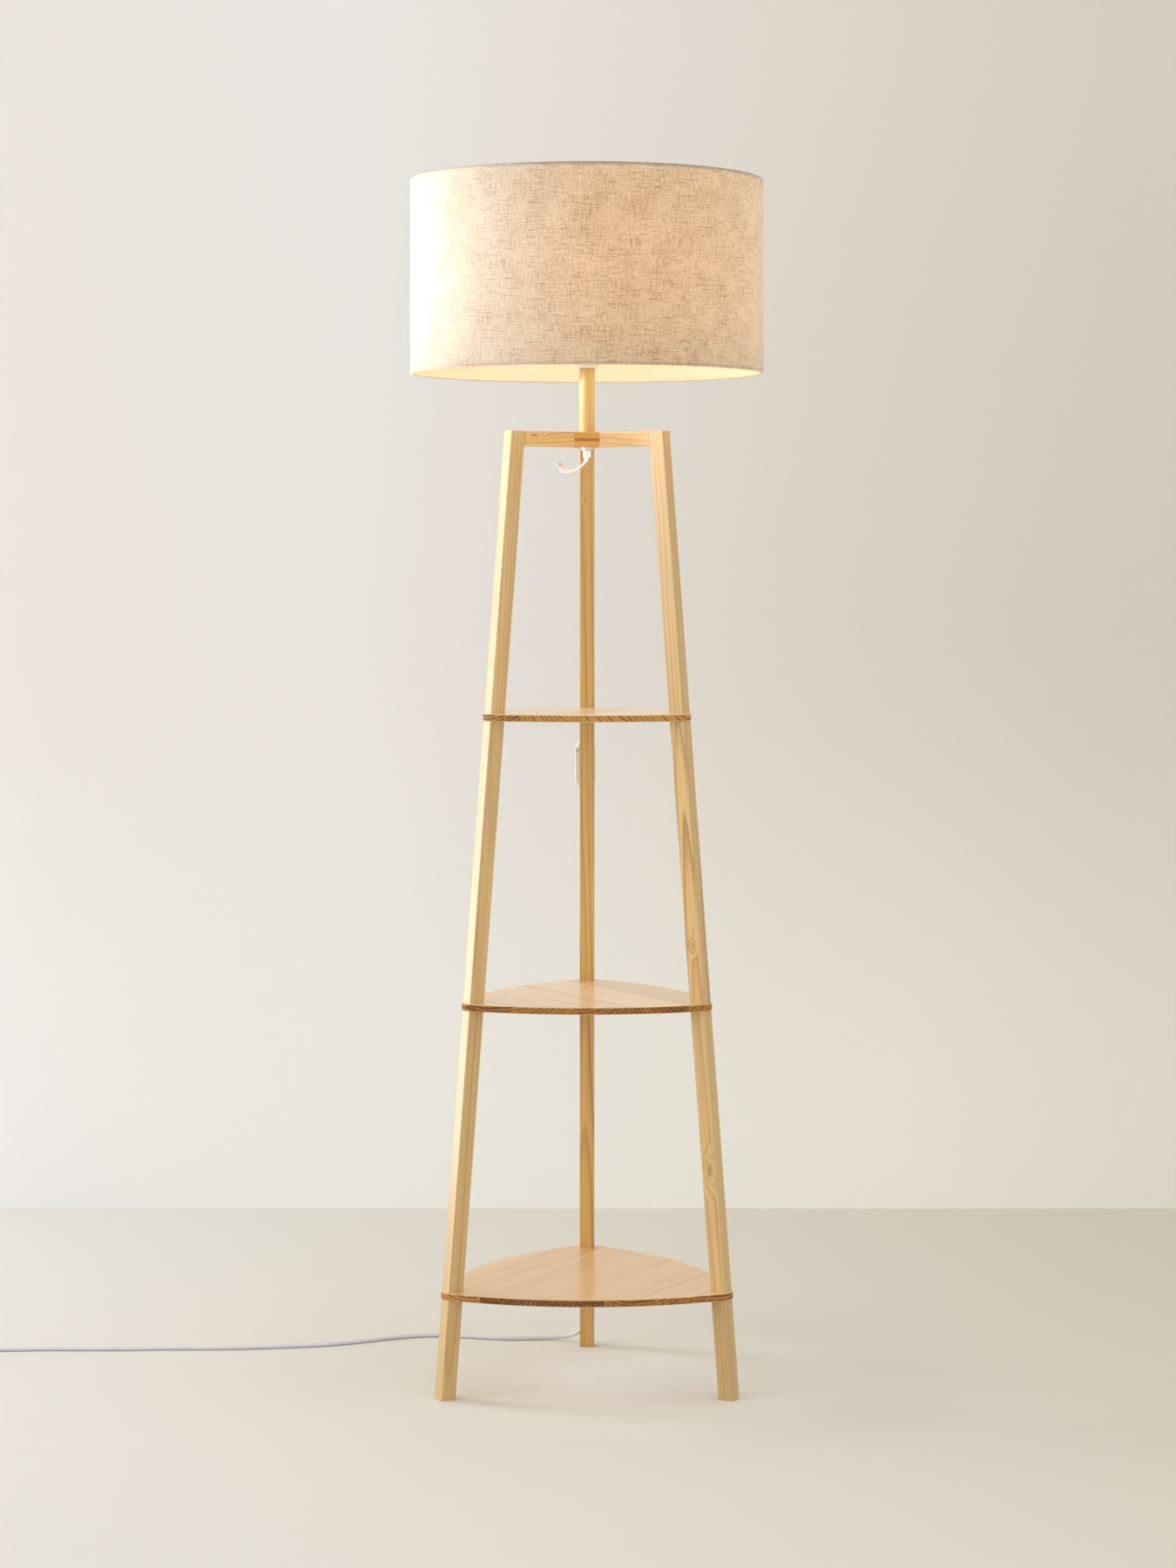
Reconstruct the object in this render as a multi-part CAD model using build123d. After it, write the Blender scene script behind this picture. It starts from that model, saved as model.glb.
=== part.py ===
from build123d import *
import math
import os

# A shelf floor lamp. Three splayed wooden legs, each in four lengths, clamp three
# curved-sided shelves between their ends. Short arms tie the leg tops to a hub,
# which carries a round stem, a lampholder and a fabric drum shade.
# Millimetres, +Z up, the origin on the floor on the lamp's axis.

# ---- Legs ----
LEG_TOP = 1209.0            # height of the legs' upper ends, flush with arms and hub
LEG_TOP_RADIUS = 105.0      # from the lamp's axis to a leg's centre line at LEG_TOP
LEG_FOOT_RADIUS = 204.5     # and on the floor
LEG_WIDTH = 19.3            # side to side
LEG_DEPTH = 20.2            # inner to outer face, measured level
LEG_EDGE = 1.2              # easing of the long edges
LEG_COUNT = 3
REAR_AZIMUTH = 90.0
LEG_AZIMUTHS = {
    "rear": REAR_AZIMUTH,
    "left": REAR_AZIMUTH + 360 / LEG_COUNT,
    "right": REAR_AZIMUTH - 360 / LEG_COUNT,
}

# ---- Shelves ----
SHELF_HEIGHTS = {"top": 853.0, "middle": 491.5, "bottom": 133.5}   # upper faces
SHELF_THICKNESS = 9.0
SHELF_LIP = 4.5             # a shelf's corner past the leg's outer face
SHELF_CORNER = 20.0         # corner radius in plan
SHELF_SIDE_RATIO = 0.73           # a side's middle from the axis, over the corner's distance
SHELF_EDGE = 1.5            # easing of the upper and lower edges

# ---- Studs and insert nuts that screw the leg lengths together ----
STUD_DIAMETER = 6.0
STUD_UP = 22.0              # into the leg above a shelf
STUD_DOWN = 14.0            # into the insert nut below it
INSERT_DIAMETER = 9.0
INSERT_LENGTH = 13.0
INSERT_SINK = 0.6           # below the leg's end
SCREW_CLEARANCE = 0.05      # radial, between a stud and its thread
SHELF_HOLE_CLEARANCE = 0.3  # radial, between a stud and a shelf

# ---- Hub, arms and dowels ----
HUB_FACE = 24.0             # from the axis to the faces that the arms meet
HUB_HEIGHT = 19.0
HUB_EDGE = 0.6
TENON_WIDTH = 14.0
TENON_DEPTH = 16.5          # from the leg's top to the tenon's rounded bottom
JOINT_GAP = 0.1             # glue line round a tenon or a dowel
DOWEL_DIAMETER = 8.0
DOWEL_IN_HUB = 11.0
DOWEL_IN_ARM = 16.0

# ---- Stem ----
STEM_DIAMETER = 20.0
STEM_HEIGHT = 81.7          # above the hub
LEAD_BORE = 8.0
EXIT_HEIGHT = 42.0          # above the hub, where the lead's bore turns out to the rear
BOLT_DIAMETER = 5.0
BOLT_HEAD_DIAMETER = 7.4
BOLT_HEAD_HEIGHT = 1.8
BOLT_CLEARANCE = 0.2
STEM_INSERT_DIAMETER = 11.0
STEM_INSERT_LENGTH = 18.0
NIPPLE_DIAMETER = 10.0
NIPPLE_BORE = 6.8
NIPPLE_IN_STEM = 13.0
NIPPLE_IN_CAP = 11.0

# ---- Hook under the hub ----
HOOK_FLANGE_DIAMETER = 16.0
HOOK_FLANGE_HEIGHT = 4.0
HOOK_COLLAR_DIAMETER = 10.0
HOOK_COLLAR_HEIGHT = 9.0
HOOK_WIRE = 5.0
HOOK_DROP = 31.0            # from the collar's lower face to the lowest centre point, less the collar
HOOK_REACH = 41.0
HOOK_TONGUE = 12.5          # width of the flattened end
HOOK_AZIMUTH = 150.0
TURN_GAP = 0.1              # between faces that turn on each other

# ---- Lampholder ----
CAP_FOOT_DIAMETER = 28.0
HOLDER_DIAMETER = 39.0
CAP_HEIGHT = 24.0
HOLDER_WALL = 2.0
SEAT_HEIGHT = 42.5          # of the shade's seat above the stem
SEAT_DIAMETER = 46.0
HOLDER_HEIGHT = 61.0        # of the whole lampholder above the stem
HOLDER_FLOOR = 34.0         # of the disc's upper face above the stem
CONTACT_RISE = 1.7          # crest of the centre contact above that face
SOCKET_DIAMETER = 27.6      # inside the metal screw shell
SHELL_WALL = 0.4
RING_NUT_HEIGHT = 7.0
RING_NUT_DIAMETER = 52.0
RING_NUT_GRIPS = 18

# ---- Bulb ----
BULB_CAP_DIAMETER = 26.2
BULB_CAP_LENGTH = 24.0
BULB_DIAMETER = 60.0
BULB_LENGTH = 108.0
BULB_TIP = HOLDER_FLOOR + CONTACT_RISE + 0.05   # of its contact above the stem

# ---- Shade ----
SHADE_DIAMETER = 450.0
SHADE_HEIGHT = 247.0
SHADE_DROP = 50.0           # from the shade's seat down to its lower rim
FABRIC = 0.8
LINER = 0.5
LAMINATE_GAP = 0.1
RIM_WIRE = 2.4
RIM_GAP = 0.3
FITTER_DIAMETER = 58.0
FITTER_THICKNESS = 1.5
FITTER_CLEARANCE = 0.5
SPOKE_AZIMUTH = 113.6       # of the first of three
SPOKE_COUNT = 3

# ---- Lead, clips and switch ----
LEAD_DIAMETER = 5.6
LEAD_SIDE = -2.5            # the lead's place across the rear leg
LEAD_STANDOFF = 3.2         # its centre from the rear leg's back
LEG_BEND = 9.5              # how far it stands off where it bends over the leg's top
CLIP_FROM_TOP = 59.0        # from the leg's top to the highest clip
CLIP_FROM_SHELF = 53.0      # from a shelf's faces to the clips nearest it
CLIP_LENGTH = 7.0
CLIP_WALL = 1.4
CLIP_GAP = 0.25
CLIP_TAB = 6.0
NAIL_DIAMETER = 1.8
NAIL_HEAD = 4.0
NAIL_LENGTH = 12.0
GROMMET_WALL = 0.9
GROMMET_FLANGE = 1.4
SWITCH_DROP = 67.0          # its middle below the top shelf
SWITCH_LENGTH = 60.0
SWITCH_WIDTH = 27.0
SWITCH_THICKNESS = 19.0
SWITCH_END = 16.0           # width of its tapered ends
SWITCH_TAPER = 9.0         # length of each tapered end
SWITCH_WALL = 1.8
SWITCH_STANDOFF = 11.0      # its parting plane from the rear leg's back
ROCKER_LENGTH = 20.0
ROCKER_WIDTH = 11.0
ROCKER_TILT = 9.0           # each side of level, in degrees
ROCKER_GAP = 0.5
PIVOT_DIAMETER = 3.0
PIVOT_CLEARANCE = 0.05
CASE_SCREW_DIAMETER = 2.9
CASE_SCREW_HEAD = 5.4

# ---- Plug ----
PLUG_WIDTH = 35.0
PLUG_LENGTH = 37.0
PLUG_THICKNESS = 14.0
PLUG_NOSE = 26.0            # width at the cord's end
PIN_DIAMETER = 4.0
PIN_LENGTH = 19.0           # out of the body, sleeve included
PIN_SLEEVE_DIAMETER = 3.5
PIN_SLEEVE_LENGTH = 10.0
PIN_SHANK_DIAMETER = 2.6    # inside the sleeve and the body
PIN_DEPTH = 9.0             # of the shank in the body
PIN_SPACING = 18.6
RELIEF_LENGTH = 30.0
RELIEF_DIAMETER = 9.0
TAIL_REACH = 84.0           # from the coil's middle to where the cord enters the plug
TAIL_SWING = 4.0

# ---- Coil of spare cord ----
COIL_RADIUS = 37.0          # outermost half turn, to the cord's centre
COIL_PITCH = 6.2            # from one turn to the next in a layer
COIL_LAYER = 6.1            # from one layer to the next
COIL_X = -832.0
COIL_BEHIND = -45.0         # its rear side, from the held lead's end
COIL_RISE = 3.6             # centre of the lower layer above the floor
TIE_WALL = 0.6
TIE_WIDTH = 5.0
TIE_GAP = 0.15
TIE_SLACK = 0.6             # more gap inside, where the turns curve across its width
FLOOR_LIFT = 0.05           # between a lying cord and the floor

# ---- Places worked out from the sizes above ----
SPLAY = math.degrees(math.atan2(LEG_FOOT_RADIUS - LEG_TOP_RADIUS, LEG_TOP))
STEM_BASE = LEG_TOP
STEM_TOP = STEM_BASE + STEM_HEIGHT
SEAT = STEM_TOP + SEAT_HEIGHT
SHADE_LOW = SEAT - SHADE_DROP
SHADE_HIGH = SHADE_LOW + SHADE_HEIGHT
HUB_LOW = LEG_TOP - HUB_HEIGHT
SHELF_ORDER = ("top", "middle", "bottom")
SWITCH_HEIGHT = SHELF_HEIGHTS["top"] - SHELF_THICKNESS - SWITCH_DROP
LEG_SPANS = {
    "upper": (SHELF_HEIGHTS["top"], LEG_TOP),
    "middle": (SHELF_HEIGHTS["middle"], SHELF_HEIGHTS["top"] - SHELF_THICKNESS),
    "lower": (SHELF_HEIGHTS["bottom"], SHELF_HEIGHTS["middle"] - SHELF_THICKNESS),
    "foot": (0.0, SHELF_HEIGHTS["bottom"] - SHELF_THICKNESS),
}
ON_BASE = (Align.CENTER, Align.CENTER, Align.MIN)
LEAD_RADIUS = LEAD_DIAMETER / 2
DEG = math.pi / 180


def clip_heights():
    """Clips near the leg's top and each shelf, and halfway along each long stretch."""
    above = {name: height + CLIP_FROM_SHELF for name, height in SHELF_HEIGHTS.items()}
    below = {
        name: height - SHELF_THICKNESS - CLIP_FROM_SHELF
        for name, height in SHELF_HEIGHTS.items()
    }
    highest = LEG_TOP - CLIP_FROM_TOP
    switch_end = SWITCH_HEIGHT - SWITCH_LENGTH / 2
    return [
        highest,
        (highest + above["top"]) / 2,
        above["top"],
        (switch_end + above["middle"]) / 2,
        above["middle"],
        below["middle"],
        (below["middle"] + above["bottom"]) / 2,
        above["bottom"],
        below["bottom"],
    ]


CLIP_HEIGHTS = clip_heights()


# ---- Small tools ----
def rod(diameter, low, high):
    """A round bar on the lamp's axis between two heights."""
    return Pos(0, 0, low) * Cylinder(diameter / 2, high - low, align=ON_BASE)


def ring(outer, inner, low, high):
    return rod(outer, low, high) - rod(inner, low - 1, high + 1)


def turn_up(*points):
    """A turned piece from its half section, as (radius, height) corners."""
    outline = Polyline(*[(r, 0, z) for r, z in points], close=True)
    return revolve(make_face(outline), Axis.Z)


def standing(points, width):
    """A plate in the XZ plane, from (x, z) corners, centred on Y."""
    outline = Polyline(*[(x, 0, z) for x, z in points], close=True)
    return extrude(make_face(outline), width / 2, dir=(0, 1, 0), both=True)


def around(shape, azimuth):
    return Rot(0, 0, azimuth) * shape


def round_legs(shape):
    """The same shape at each of the three legs."""
    return Compound([around(shape, azimuth) for azimuth in LEG_AZIMUTHS.values()])


def write(shape, node):
    export_step(shape, f"parts/{node}.step")


def leg_radius(height):
    """From the lamp's axis to a leg's centre line."""
    return LEG_FOOT_RADIUS + (LEG_TOP_RADIUS - LEG_FOOT_RADIUS) * height / LEG_TOP


def on_leg(height):
    """A place on a leg's centre line at azimuth 0, with +Z up along the leg."""
    return Pos(leg_radius(height), 0, height) * Rot(0, -SPLAY, 0)


def leg_slab(low, high, width):
    """A leg's own section between two levels, with the ends cut level."""
    half = LEG_DEPTH / 2
    corners = [
        (leg_radius(low) - half, low),
        (leg_radius(low) + half, low),
        (leg_radius(high) + half, high),
        (leg_radius(high) - half, high),
    ]
    return standing(corners, width)


# ---- Tenon shared by arm and leg ----
def tenon_bar(gap, top):
    """A bar along X with a half-round underside, grown by a gap."""
    half = TENON_WIDTH / 2 + gap
    middle = LEG_TOP - TENON_DEPTH + TENON_WIDTH / 2
    section = Pos(0, middle) * Circle(half)
    section += Pos(0, (middle + top) / 2) * Rectangle(2 * half, top - middle)
    return extrude(Plane.YZ * section, 2 * LEG_TOP_RADIUS)


def arm():
    """From the hub to the leg's inner face, with a tenon right through the leg."""
    half = LEG_DEPTH / 2
    bar = standing(
        [
            (HUB_FACE, HUB_LOW),
            (leg_radius(HUB_LOW) - half, HUB_LOW),
            (leg_radius(LEG_TOP) - half, LEG_TOP),
            (HUB_FACE, LEG_TOP),
        ],
        LEG_WIDTH,
    )
    bar += tenon_bar(0, LEG_TOP) & leg_slab(HUB_LOW, LEG_TOP, LEG_WIDTH)
    return bar - dowel_at_hub(JOINT_GAP)


def dowel_at_hub(gap):
    """The dowel across the joint of hub and arm, grown by a gap."""
    length = DOWEL_IN_HUB + DOWEL_IN_ARM
    dowel = Cylinder(DOWEL_DIAMETER / 2 + gap, length + 2 * gap)
    if gap == 0:
        dowel = chamfer(dowel.edges(), DOWEL_DIAMETER / 10)
    middle = HUB_FACE + (DOWEL_IN_ARM - DOWEL_IN_HUB) / 2
    return Pos(middle, 0, LEG_TOP - HUB_HEIGHT / 2) * Rot(0, 90, 0) * dowel


def hub():
    """A block with three long faces and three short ones that meet the arms."""
    corners = []
    for azimuth in sorted(LEG_AZIMUTHS.values()):
        for side in (-1, 1):
            corner = Vector(HUB_FACE, side * LEG_WIDTH / 2, HUB_LOW)
            corners.append(corner.rotate(Axis.Z, azimuth))
    block = extrude(make_face(Polyline(*corners, close=True)), HUB_HEIGHT, dir=(0, 0, 1))
    rims = [
        edge
        for edge in block.edges()
        if abs(edge.tangent_at(0.5).Z) < 0.5 and edge.length > LEG_WIDTH + 1
    ]
    block = chamfer(rims, HUB_EDGE)
    block -= rod(BOLT_DIAMETER + 2 * BOLT_CLEARANCE, HUB_LOW - 1, LEG_TOP + 1)
    return block - round_legs(dowel_at_hub(JOINT_GAP))


# ---- Legs, shelves and their studs ----
def insert_nut():
    """Threaded insert in a leg's upper end, drawn at the shelf above it."""
    top = -SHELF_THICKNESS / math.cos(SPLAY * DEG) - INSERT_SINK
    return (
        Pos(0, 0, top - INSERT_LENGTH)
        * (
            Cylinder(INSERT_DIAMETER / 2, INSERT_LENGTH, align=ON_BASE)
            - Cylinder(STUD_DIAMETER / 2 + SCREW_CLEARANCE, INSERT_LENGTH, align=ON_BASE)
        )
    )


def stud(gap=0.0):
    """Double-ended stud through a shelf's corner, grown by a gap."""
    low = -SHELF_THICKNESS - STUD_DOWN - gap
    high = STUD_UP + gap
    bar = Pos(0, 0, low) * Cylinder(STUD_DIAMETER / 2 + gap, high - low, align=ON_BASE)
    return bar if gap else chamfer(bar.edges(), STUD_DIAMETER / 8)


def insert_bore():
    top = -SHELF_THICKNESS + 2
    depth = INSERT_LENGTH + INSERT_SINK + 2.5
    low = Pos(0, 0, top - depth) * Cylinder(
        INSERT_DIAMETER / 2 + SCREW_CLEARANCE, depth, align=ON_BASE
    )
    return low


def leg(name):
    """One length of leg at azimuth 0, bored for the studs at its ends."""
    low, high = LEG_SPANS[name]
    piece = leg_slab(low, high, LEG_WIDTH)
    piece = fillet(piece.edges().sort_by(SortBy.LENGTH)[-4:], LEG_EDGE)
    if name != "foot":
        piece -= on_leg(low) * stud(SCREW_CLEARANCE)
    if name != "upper":
        piece -= on_leg(high + SHELF_THICKNESS) * insert_bore()
        piece -= on_leg(high + SHELF_THICKNESS) * stud(SHELF_HOLE_CLEARANCE)
    else:
        piece -= tenon_bar(JOINT_GAP, LEG_TOP + 1)
    return piece


def shelf(height):
    """A three-sided board with curved sides and rounded corners, on its legs' studs."""
    tip = leg_radius(height) + LEG_DEPTH / 2 + SHELF_LIP
    sharp = tip + SHELF_CORNER * (1 / math.sin(60 * DEG) - 1)
    step = 360 / LEG_COUNT
    turns = [REAR_AZIMUTH + step * number for number in range(LEG_COUNT)]
    corners = [Vector(sharp, 0, height).rotate(Axis.Z, turn) for turn in turns]
    middles = [
        Vector(SHELF_SIDE_RATIO * tip, 0, height).rotate(Axis.Z, turn + step / 2) for turn in turns
    ]
    sides = [
        ThreePointArc(corners[number - 1], middles[number - 1], corners[number])
        for number in range(LEG_COUNT)
    ]
    board = extrude(make_face(Curve() + sides), SHELF_THICKNESS, dir=(0, 0, -1))
    upright = board.edges().filter_by(Axis.Z)
    board = fillet(upright, SHELF_CORNER)
    rims = [edge for edge in board.edges() if abs(edge.tangent_at(0.5).Z) < 0.5]
    board = fillet(rims, SHELF_EDGE)
    hole = on_leg(height) * stud(SHELF_HOLE_CLEARANCE)
    return board - round_legs(hole)


# ---- Stem and what fastens it ----
def exit_line():
    """Where the lead's bore turns, and its direction out to the rear."""
    lean = 36.5 * DEG
    return Vector(0, 0, STEM_BASE + EXIT_HEIGHT), Vector(0, math.sin(lean), -math.cos(lean))


def slanted(diameter, start, length):
    """A round bar down the exit bore, from a distance along it."""
    corner, way = exit_line()
    return Plane(corner + way * start, z_dir=way) * Cylinder(
        diameter / 2, length, align=ON_BASE
    )


def stem():
    body = rod(STEM_DIAMETER, STEM_BASE, STEM_TOP)
    body = chamfer(body.edges().group_by(Axis.Z)[-1], 0.6)
    corner, way = exit_line()
    body -= rod(LEAD_BORE, corner.Z, STEM_TOP + 1)
    body -= Pos(corner) * Sphere(LEAD_BORE / 2)
    body -= slanted(LEAD_BORE, 0, 2 * STEM_DIAMETER)
    body -= rod(NIPPLE_DIAMETER + 2 * SCREW_CLEARANCE, STEM_TOP - NIPPLE_IN_STEM - 1, STEM_TOP + 1)
    body -= rod(
        STEM_INSERT_DIAMETER + 2 * SCREW_CLEARANCE, STEM_BASE - 1, STEM_BASE + STEM_INSERT_LENGTH + 1
    )
    return body


def grommet():
    """Sleeve in the exit bore with a flange that follows the stem's round."""
    reach = STEM_DIAMETER / 2 / math.sin(36.5 * DEG)
    sleeve = slanted(LEAD_BORE - 0.1, reach - 7, 7 + GROMMET_FLANGE)
    flange = slanted(LEAD_BORE + 4, reach - 7, 7 + GROMMET_FLANGE + 2)
    skin = rod(STEM_DIAMETER + 2 * GROMMET_FLANGE + 0.2, STEM_BASE, STEM_TOP)
    skin -= rod(STEM_DIAMETER + 0.2, STEM_BASE - 1, STEM_TOP + 1)
    piece = sleeve + (flange & skin)
    return piece - slanted(LEAD_DIAMETER + 0.2, 0, 3 * STEM_DIAMETER)


# ---- Hook ----
HOOK_COLLAR_TOP = HUB_LOW - HOOK_FLANGE_HEIGHT - TURN_GAP
HOOK_NECK = HOOK_COLLAR_TOP - HOOK_COLLAR_HEIGHT
COLLAR_LIP = 2.0            # depth of the bore over the bolt's head


def stem_bolt():
    """From its head, held in the hook's collar, up through the hub into the stem."""
    head_top = HOOK_COLLAR_TOP - COLLAR_LIP - TURN_GAP
    shank = rod(BOLT_DIAMETER, head_top - 0.5, STEM_BASE + STEM_INSERT_LENGTH - 2)
    shank = chamfer(shank.edges().group_by(Axis.Z)[-1], 0.6)
    return shank + rod(BOLT_HEAD_DIAMETER, head_top - BOLT_HEAD_HEIGHT, head_top)


def hook_flange():
    cup = rod(HOOK_FLANGE_DIAMETER, HUB_LOW - HOOK_FLANGE_HEIGHT, HUB_LOW)
    cup = fillet(cup.edges().group_by(Axis.Z)[0], HOOK_FLANGE_HEIGHT * 0.6)
    return cup - rod(BOLT_DIAMETER + 2 * SCREW_CLEARANCE, HUB_LOW - 9, HUB_LOW + 1)


def hook_collar():
    """Swivel collar closed over the bolt's head."""
    collar = rod(HOOK_COLLAR_DIAMETER, HOOK_NECK, HOOK_COLLAR_TOP)
    collar = chamfer(collar.edges(), 0.8)
    cavity_top = HOOK_COLLAR_TOP - COLLAR_LIP
    cavity_low = cavity_top - BOLT_HEAD_HEIGHT - 2 * TURN_GAP
    collar -= rod(BOLT_HEAD_DIAMETER + 2 * TURN_GAP, cavity_low, cavity_top)
    return collar - rod(BOLT_DIAMETER + 2 * SCREW_CLEARANCE, cavity_low, HOOK_COLLAR_TOP + 1)


def hook():
    """A collar and a round neck that flattens into a broad upturned tongue."""
    drop = HOOK_DROP - HOOK_COLLAR_HEIGHT - HOOK_FLANGE_HEIGHT
    low = HOOK_NECK - drop
    line = Spline(
        (0, 0, HOOK_NECK + 1),
        (0.1 * HOOK_REACH, 0, HOOK_NECK - 0.42 * drop),
        (0.35 * HOOK_REACH, 0, low + 0.2 * drop),
        (0.66 * HOOK_REACH, 0, low),
        (0.88 * HOOK_REACH, 0, low + 0.22 * drop),
        (HOOK_REACH, 0, low + 0.72 * drop),
        tangents=((0, 0, -1), (0.35, 0, 1)),
    )
    widths = (1.0, 0.92, 0.96, 1.3, 1.9, 2.45, 2.5, 1.5)
    depths = (1.0, 0.86, 0.86, 1.04, 1.16, 0.86, 0.56, 0.36)
    stops = (0.0, 0.12, 0.3, 0.5, 0.68, 0.84, 0.95, 1.0)
    scale = HOOK_TONGUE / HOOK_WIRE / 2.5
    sections = []
    for stop, width, depth in zip(stops, widths, depths):
        place = Plane(line @ stop, x_dir=(0, 1, 0), z_dir=line % stop)
        wide = width * (1 + (scale - 1) * stop)
        sections.append(place * Ellipse(HOOK_WIRE * wide / 2, HOOK_WIRE * depth / 2))
    return around(hook_collar() + loft(sections), HOOK_AZIMUTH)


# ---- Lampholder ----
def above_stem(*points):
    return turn_up(*[(r, STEM_TOP + z) for r, z in points])


def holder_cap():
    """Domed cap that screws on the nipple at the stem's top."""
    foot, wide = CAP_FOOT_DIAMETER / 2, HOLDER_DIAMETER / 2
    bore = NIPPLE_DIAMETER / 2 + SCREW_CLEARANCE
    outline = (
        Polyline(
            (bore, 0, 0), (foot, 0, 0), (foot, 0, 3)
        )
        + ThreePointArc((foot, 0, 3), ((foot + wide) / 2 + 1.4, 0, 9), (wide, 0, CAP_HEIGHT - 4))
        + Polyline(
            (wide, 0, CAP_HEIGHT - 4),
            (wide, 0, CAP_HEIGHT),
            (wide - HOLDER_WALL, 0, CAP_HEIGHT),
            (wide - HOLDER_WALL, 0, CAP_HEIGHT - 4),
            (foot - HOLDER_WALL, 0, 5),
            (bore + 2.5, 0, 3),
            (bore + 2.5, 0, NIPPLE_IN_CAP),
            (bore, 0, NIPPLE_IN_CAP),
            (bore, 0, 0),
        )
    )
    return Pos(0, 0, STEM_TOP) * revolve(make_face(outline), Axis.Z)


def holder_body():
    """Skirt that screws into the cap, with the shade's seat and outer thread."""
    outer = HOLDER_DIAMETER / 2
    inner = outer - HOLDER_WALL - 0.2
    bore = SOCKET_DIAMETER / 2 + SHELL_WALL + 0.1
    return above_stem(
        (inner, CAP_HEIGHT - 4),
        (inner, CAP_HEIGHT + TURN_GAP),
        (outer, CAP_HEIGHT + TURN_GAP),
        (outer, SEAT_HEIGHT - 4),
        (SEAT_DIAMETER / 2, SEAT_HEIGHT - 2),
        (SEAT_DIAMETER / 2, SEAT_HEIGHT),
        (outer - 0.2, SEAT_HEIGHT),
        (outer - 0.2, HOLDER_HEIGHT - 1),
        (outer - 1.2, HOLDER_HEIGHT),
        (bore, HOLDER_HEIGHT),
        (bore, HOLDER_FLOOR),
        (inner - HOLDER_WALL, HOLDER_FLOOR),
        (inner - HOLDER_WALL, CAP_HEIGHT - 4),
    )


def holder_insert():
    """Porcelain disc that holds the contacts and the terminals."""
    inner = HOLDER_DIAMETER / 2 - 2 * HOLDER_WALL - 0.2
    top = STEM_TOP + HOLDER_FLOOR
    disc = rod(2 * (inner - TURN_GAP), top - 10, top)
    for side in (-1, 1):
        disc -= Pos(side * 8, 0, top - 10) * Cylinder(2.4, 6, align=ON_BASE)
    return disc


def holder_shell():
    wide = SOCKET_DIAMETER / 2 + SHELL_WALL
    return above_stem(
        (SOCKET_DIAMETER / 2, HOLDER_FLOOR + TURN_GAP),
        (wide, HOLDER_FLOOR + TURN_GAP),
        (wide, HOLDER_HEIGHT - 2),
        (SOCKET_DIAMETER / 2, HOLDER_HEIGHT - 2),
    )


def holder_contact():
    """Sprung brass tongue under the bulb's tip."""
    base = STEM_TOP + HOLDER_FLOOR
    crest = base + CONTACT_RISE
    return standing(
        [
            (-9, base), (-3, base), (-1.5, crest - 0.5), (1.5, crest - 0.5), (3, base), (9, base),
            (9, base + 0.5), (3.3, base + 0.5), (1.7, crest), (-1.7, crest),
            (-3.3, base + 0.5), (-9, base + 0.5),
        ],
        6.0,
    )


def shade_ring_nut():
    """Ring that screws down on the shade's fitter, with finger grips."""
    low = SEAT + FITTER_THICKNESS + 2 * TURN_GAP
    wide = RING_NUT_DIAMETER / 2
    bore = HOLDER_DIAMETER / 2 - 0.2 + TURN_GAP
    nut = turn_up(
        (bore, low), (wide, low), (wide, low + 1.5), (wide - 2, low + RING_NUT_HEIGHT),
        (bore, low + RING_NUT_HEIGHT),
    )
    for step in range(RING_NUT_GRIPS):
        notch = Pos(wide + 0.4, 0, low + 1.5) * Cylinder(1.4, RING_NUT_HEIGHT, align=ON_BASE)
        nut -= around(notch, step * 360 / RING_NUT_GRIPS)
    return nut


# ---- Bulb ----
def bulb_pieces():
    """Contact, screw cap, housing and diffuser of a lamp bulb, standing tip down."""
    tip = BULB_TIP
    cap = BULB_CAP_DIAMETER / 2
    top = tip + 3 + BULB_CAP_LENGTH
    wide = BULB_DIAMETER / 2
    waist = top + 0.40 * (BULB_LENGTH - BULB_CAP_LENGTH)
    high = tip + BULB_LENGTH
    contact = above_stem((0, tip), (2.5, tip), (4.5, tip + 1.0), (4.5, tip + 1.6), (0, tip + 1.6))
    insulator = above_stem(
        (0, tip + 1.6), (5.5, tip + 1.6), (cap - 3, tip + 4), (0, tip + 4)
    )
    shell = above_stem(
        (0, tip + 4), (cap - 3, tip + 4), (cap, tip + 6.5), (cap, top), (0, top)
    )
    outline = (
        Polyline((0, 0, top), (cap + 0.4, 0, top), (cap + 1.2, 0, top + 3))
        + ThreePointArc(
            (cap + 1.2, 0, top + 3),
            ((cap + wide) / 2 + 0.5, 0, (top + waist) / 2 + 2),
            (wide - 1, 0, waist),
        )
        + Polyline((wide - 1, 0, waist), (0, 0, waist), (0, 0, top))
    )
    housing = Pos(0, 0, STEM_TOP) * revolve(make_face(outline), Axis.Z)
    shoulder = Spline(
        (wide - 1, 0, waist),
        (wide - 0.3, 0, waist + 13),
        (wide * 0.86, 0, waist + 27),
        (wide * 0.52, 0, high - 5),
        (0, 0, high),
        tangents=((0.1, 0, 1), (-1, 0, 0)),
    )
    dome = (
        Line((0, 0, waist), (wide - 1, 0, waist)) + shoulder + Line((0, 0, high), (0, 0, waist))
    )
    diffuser = Pos(0, 0, STEM_TOP) * revolve(make_face(dome), Axis.Z)
    return {
        "bulb_contact": contact,
        "bulb_insulator": insulator,
        "bulb_cap": shell,
        "bulb_housing": housing,
        "bulb_diffuser": diffuser,
    }


# ---- Shade ----
RIM_ROLL = RIM_WIRE / 2 + RIM_GAP + FABRIC      # radius of the fabric's rolled edge
RIM_RADIUS = SHADE_DIAMETER / 2 - RIM_ROLL      # of the wire rings


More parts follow.
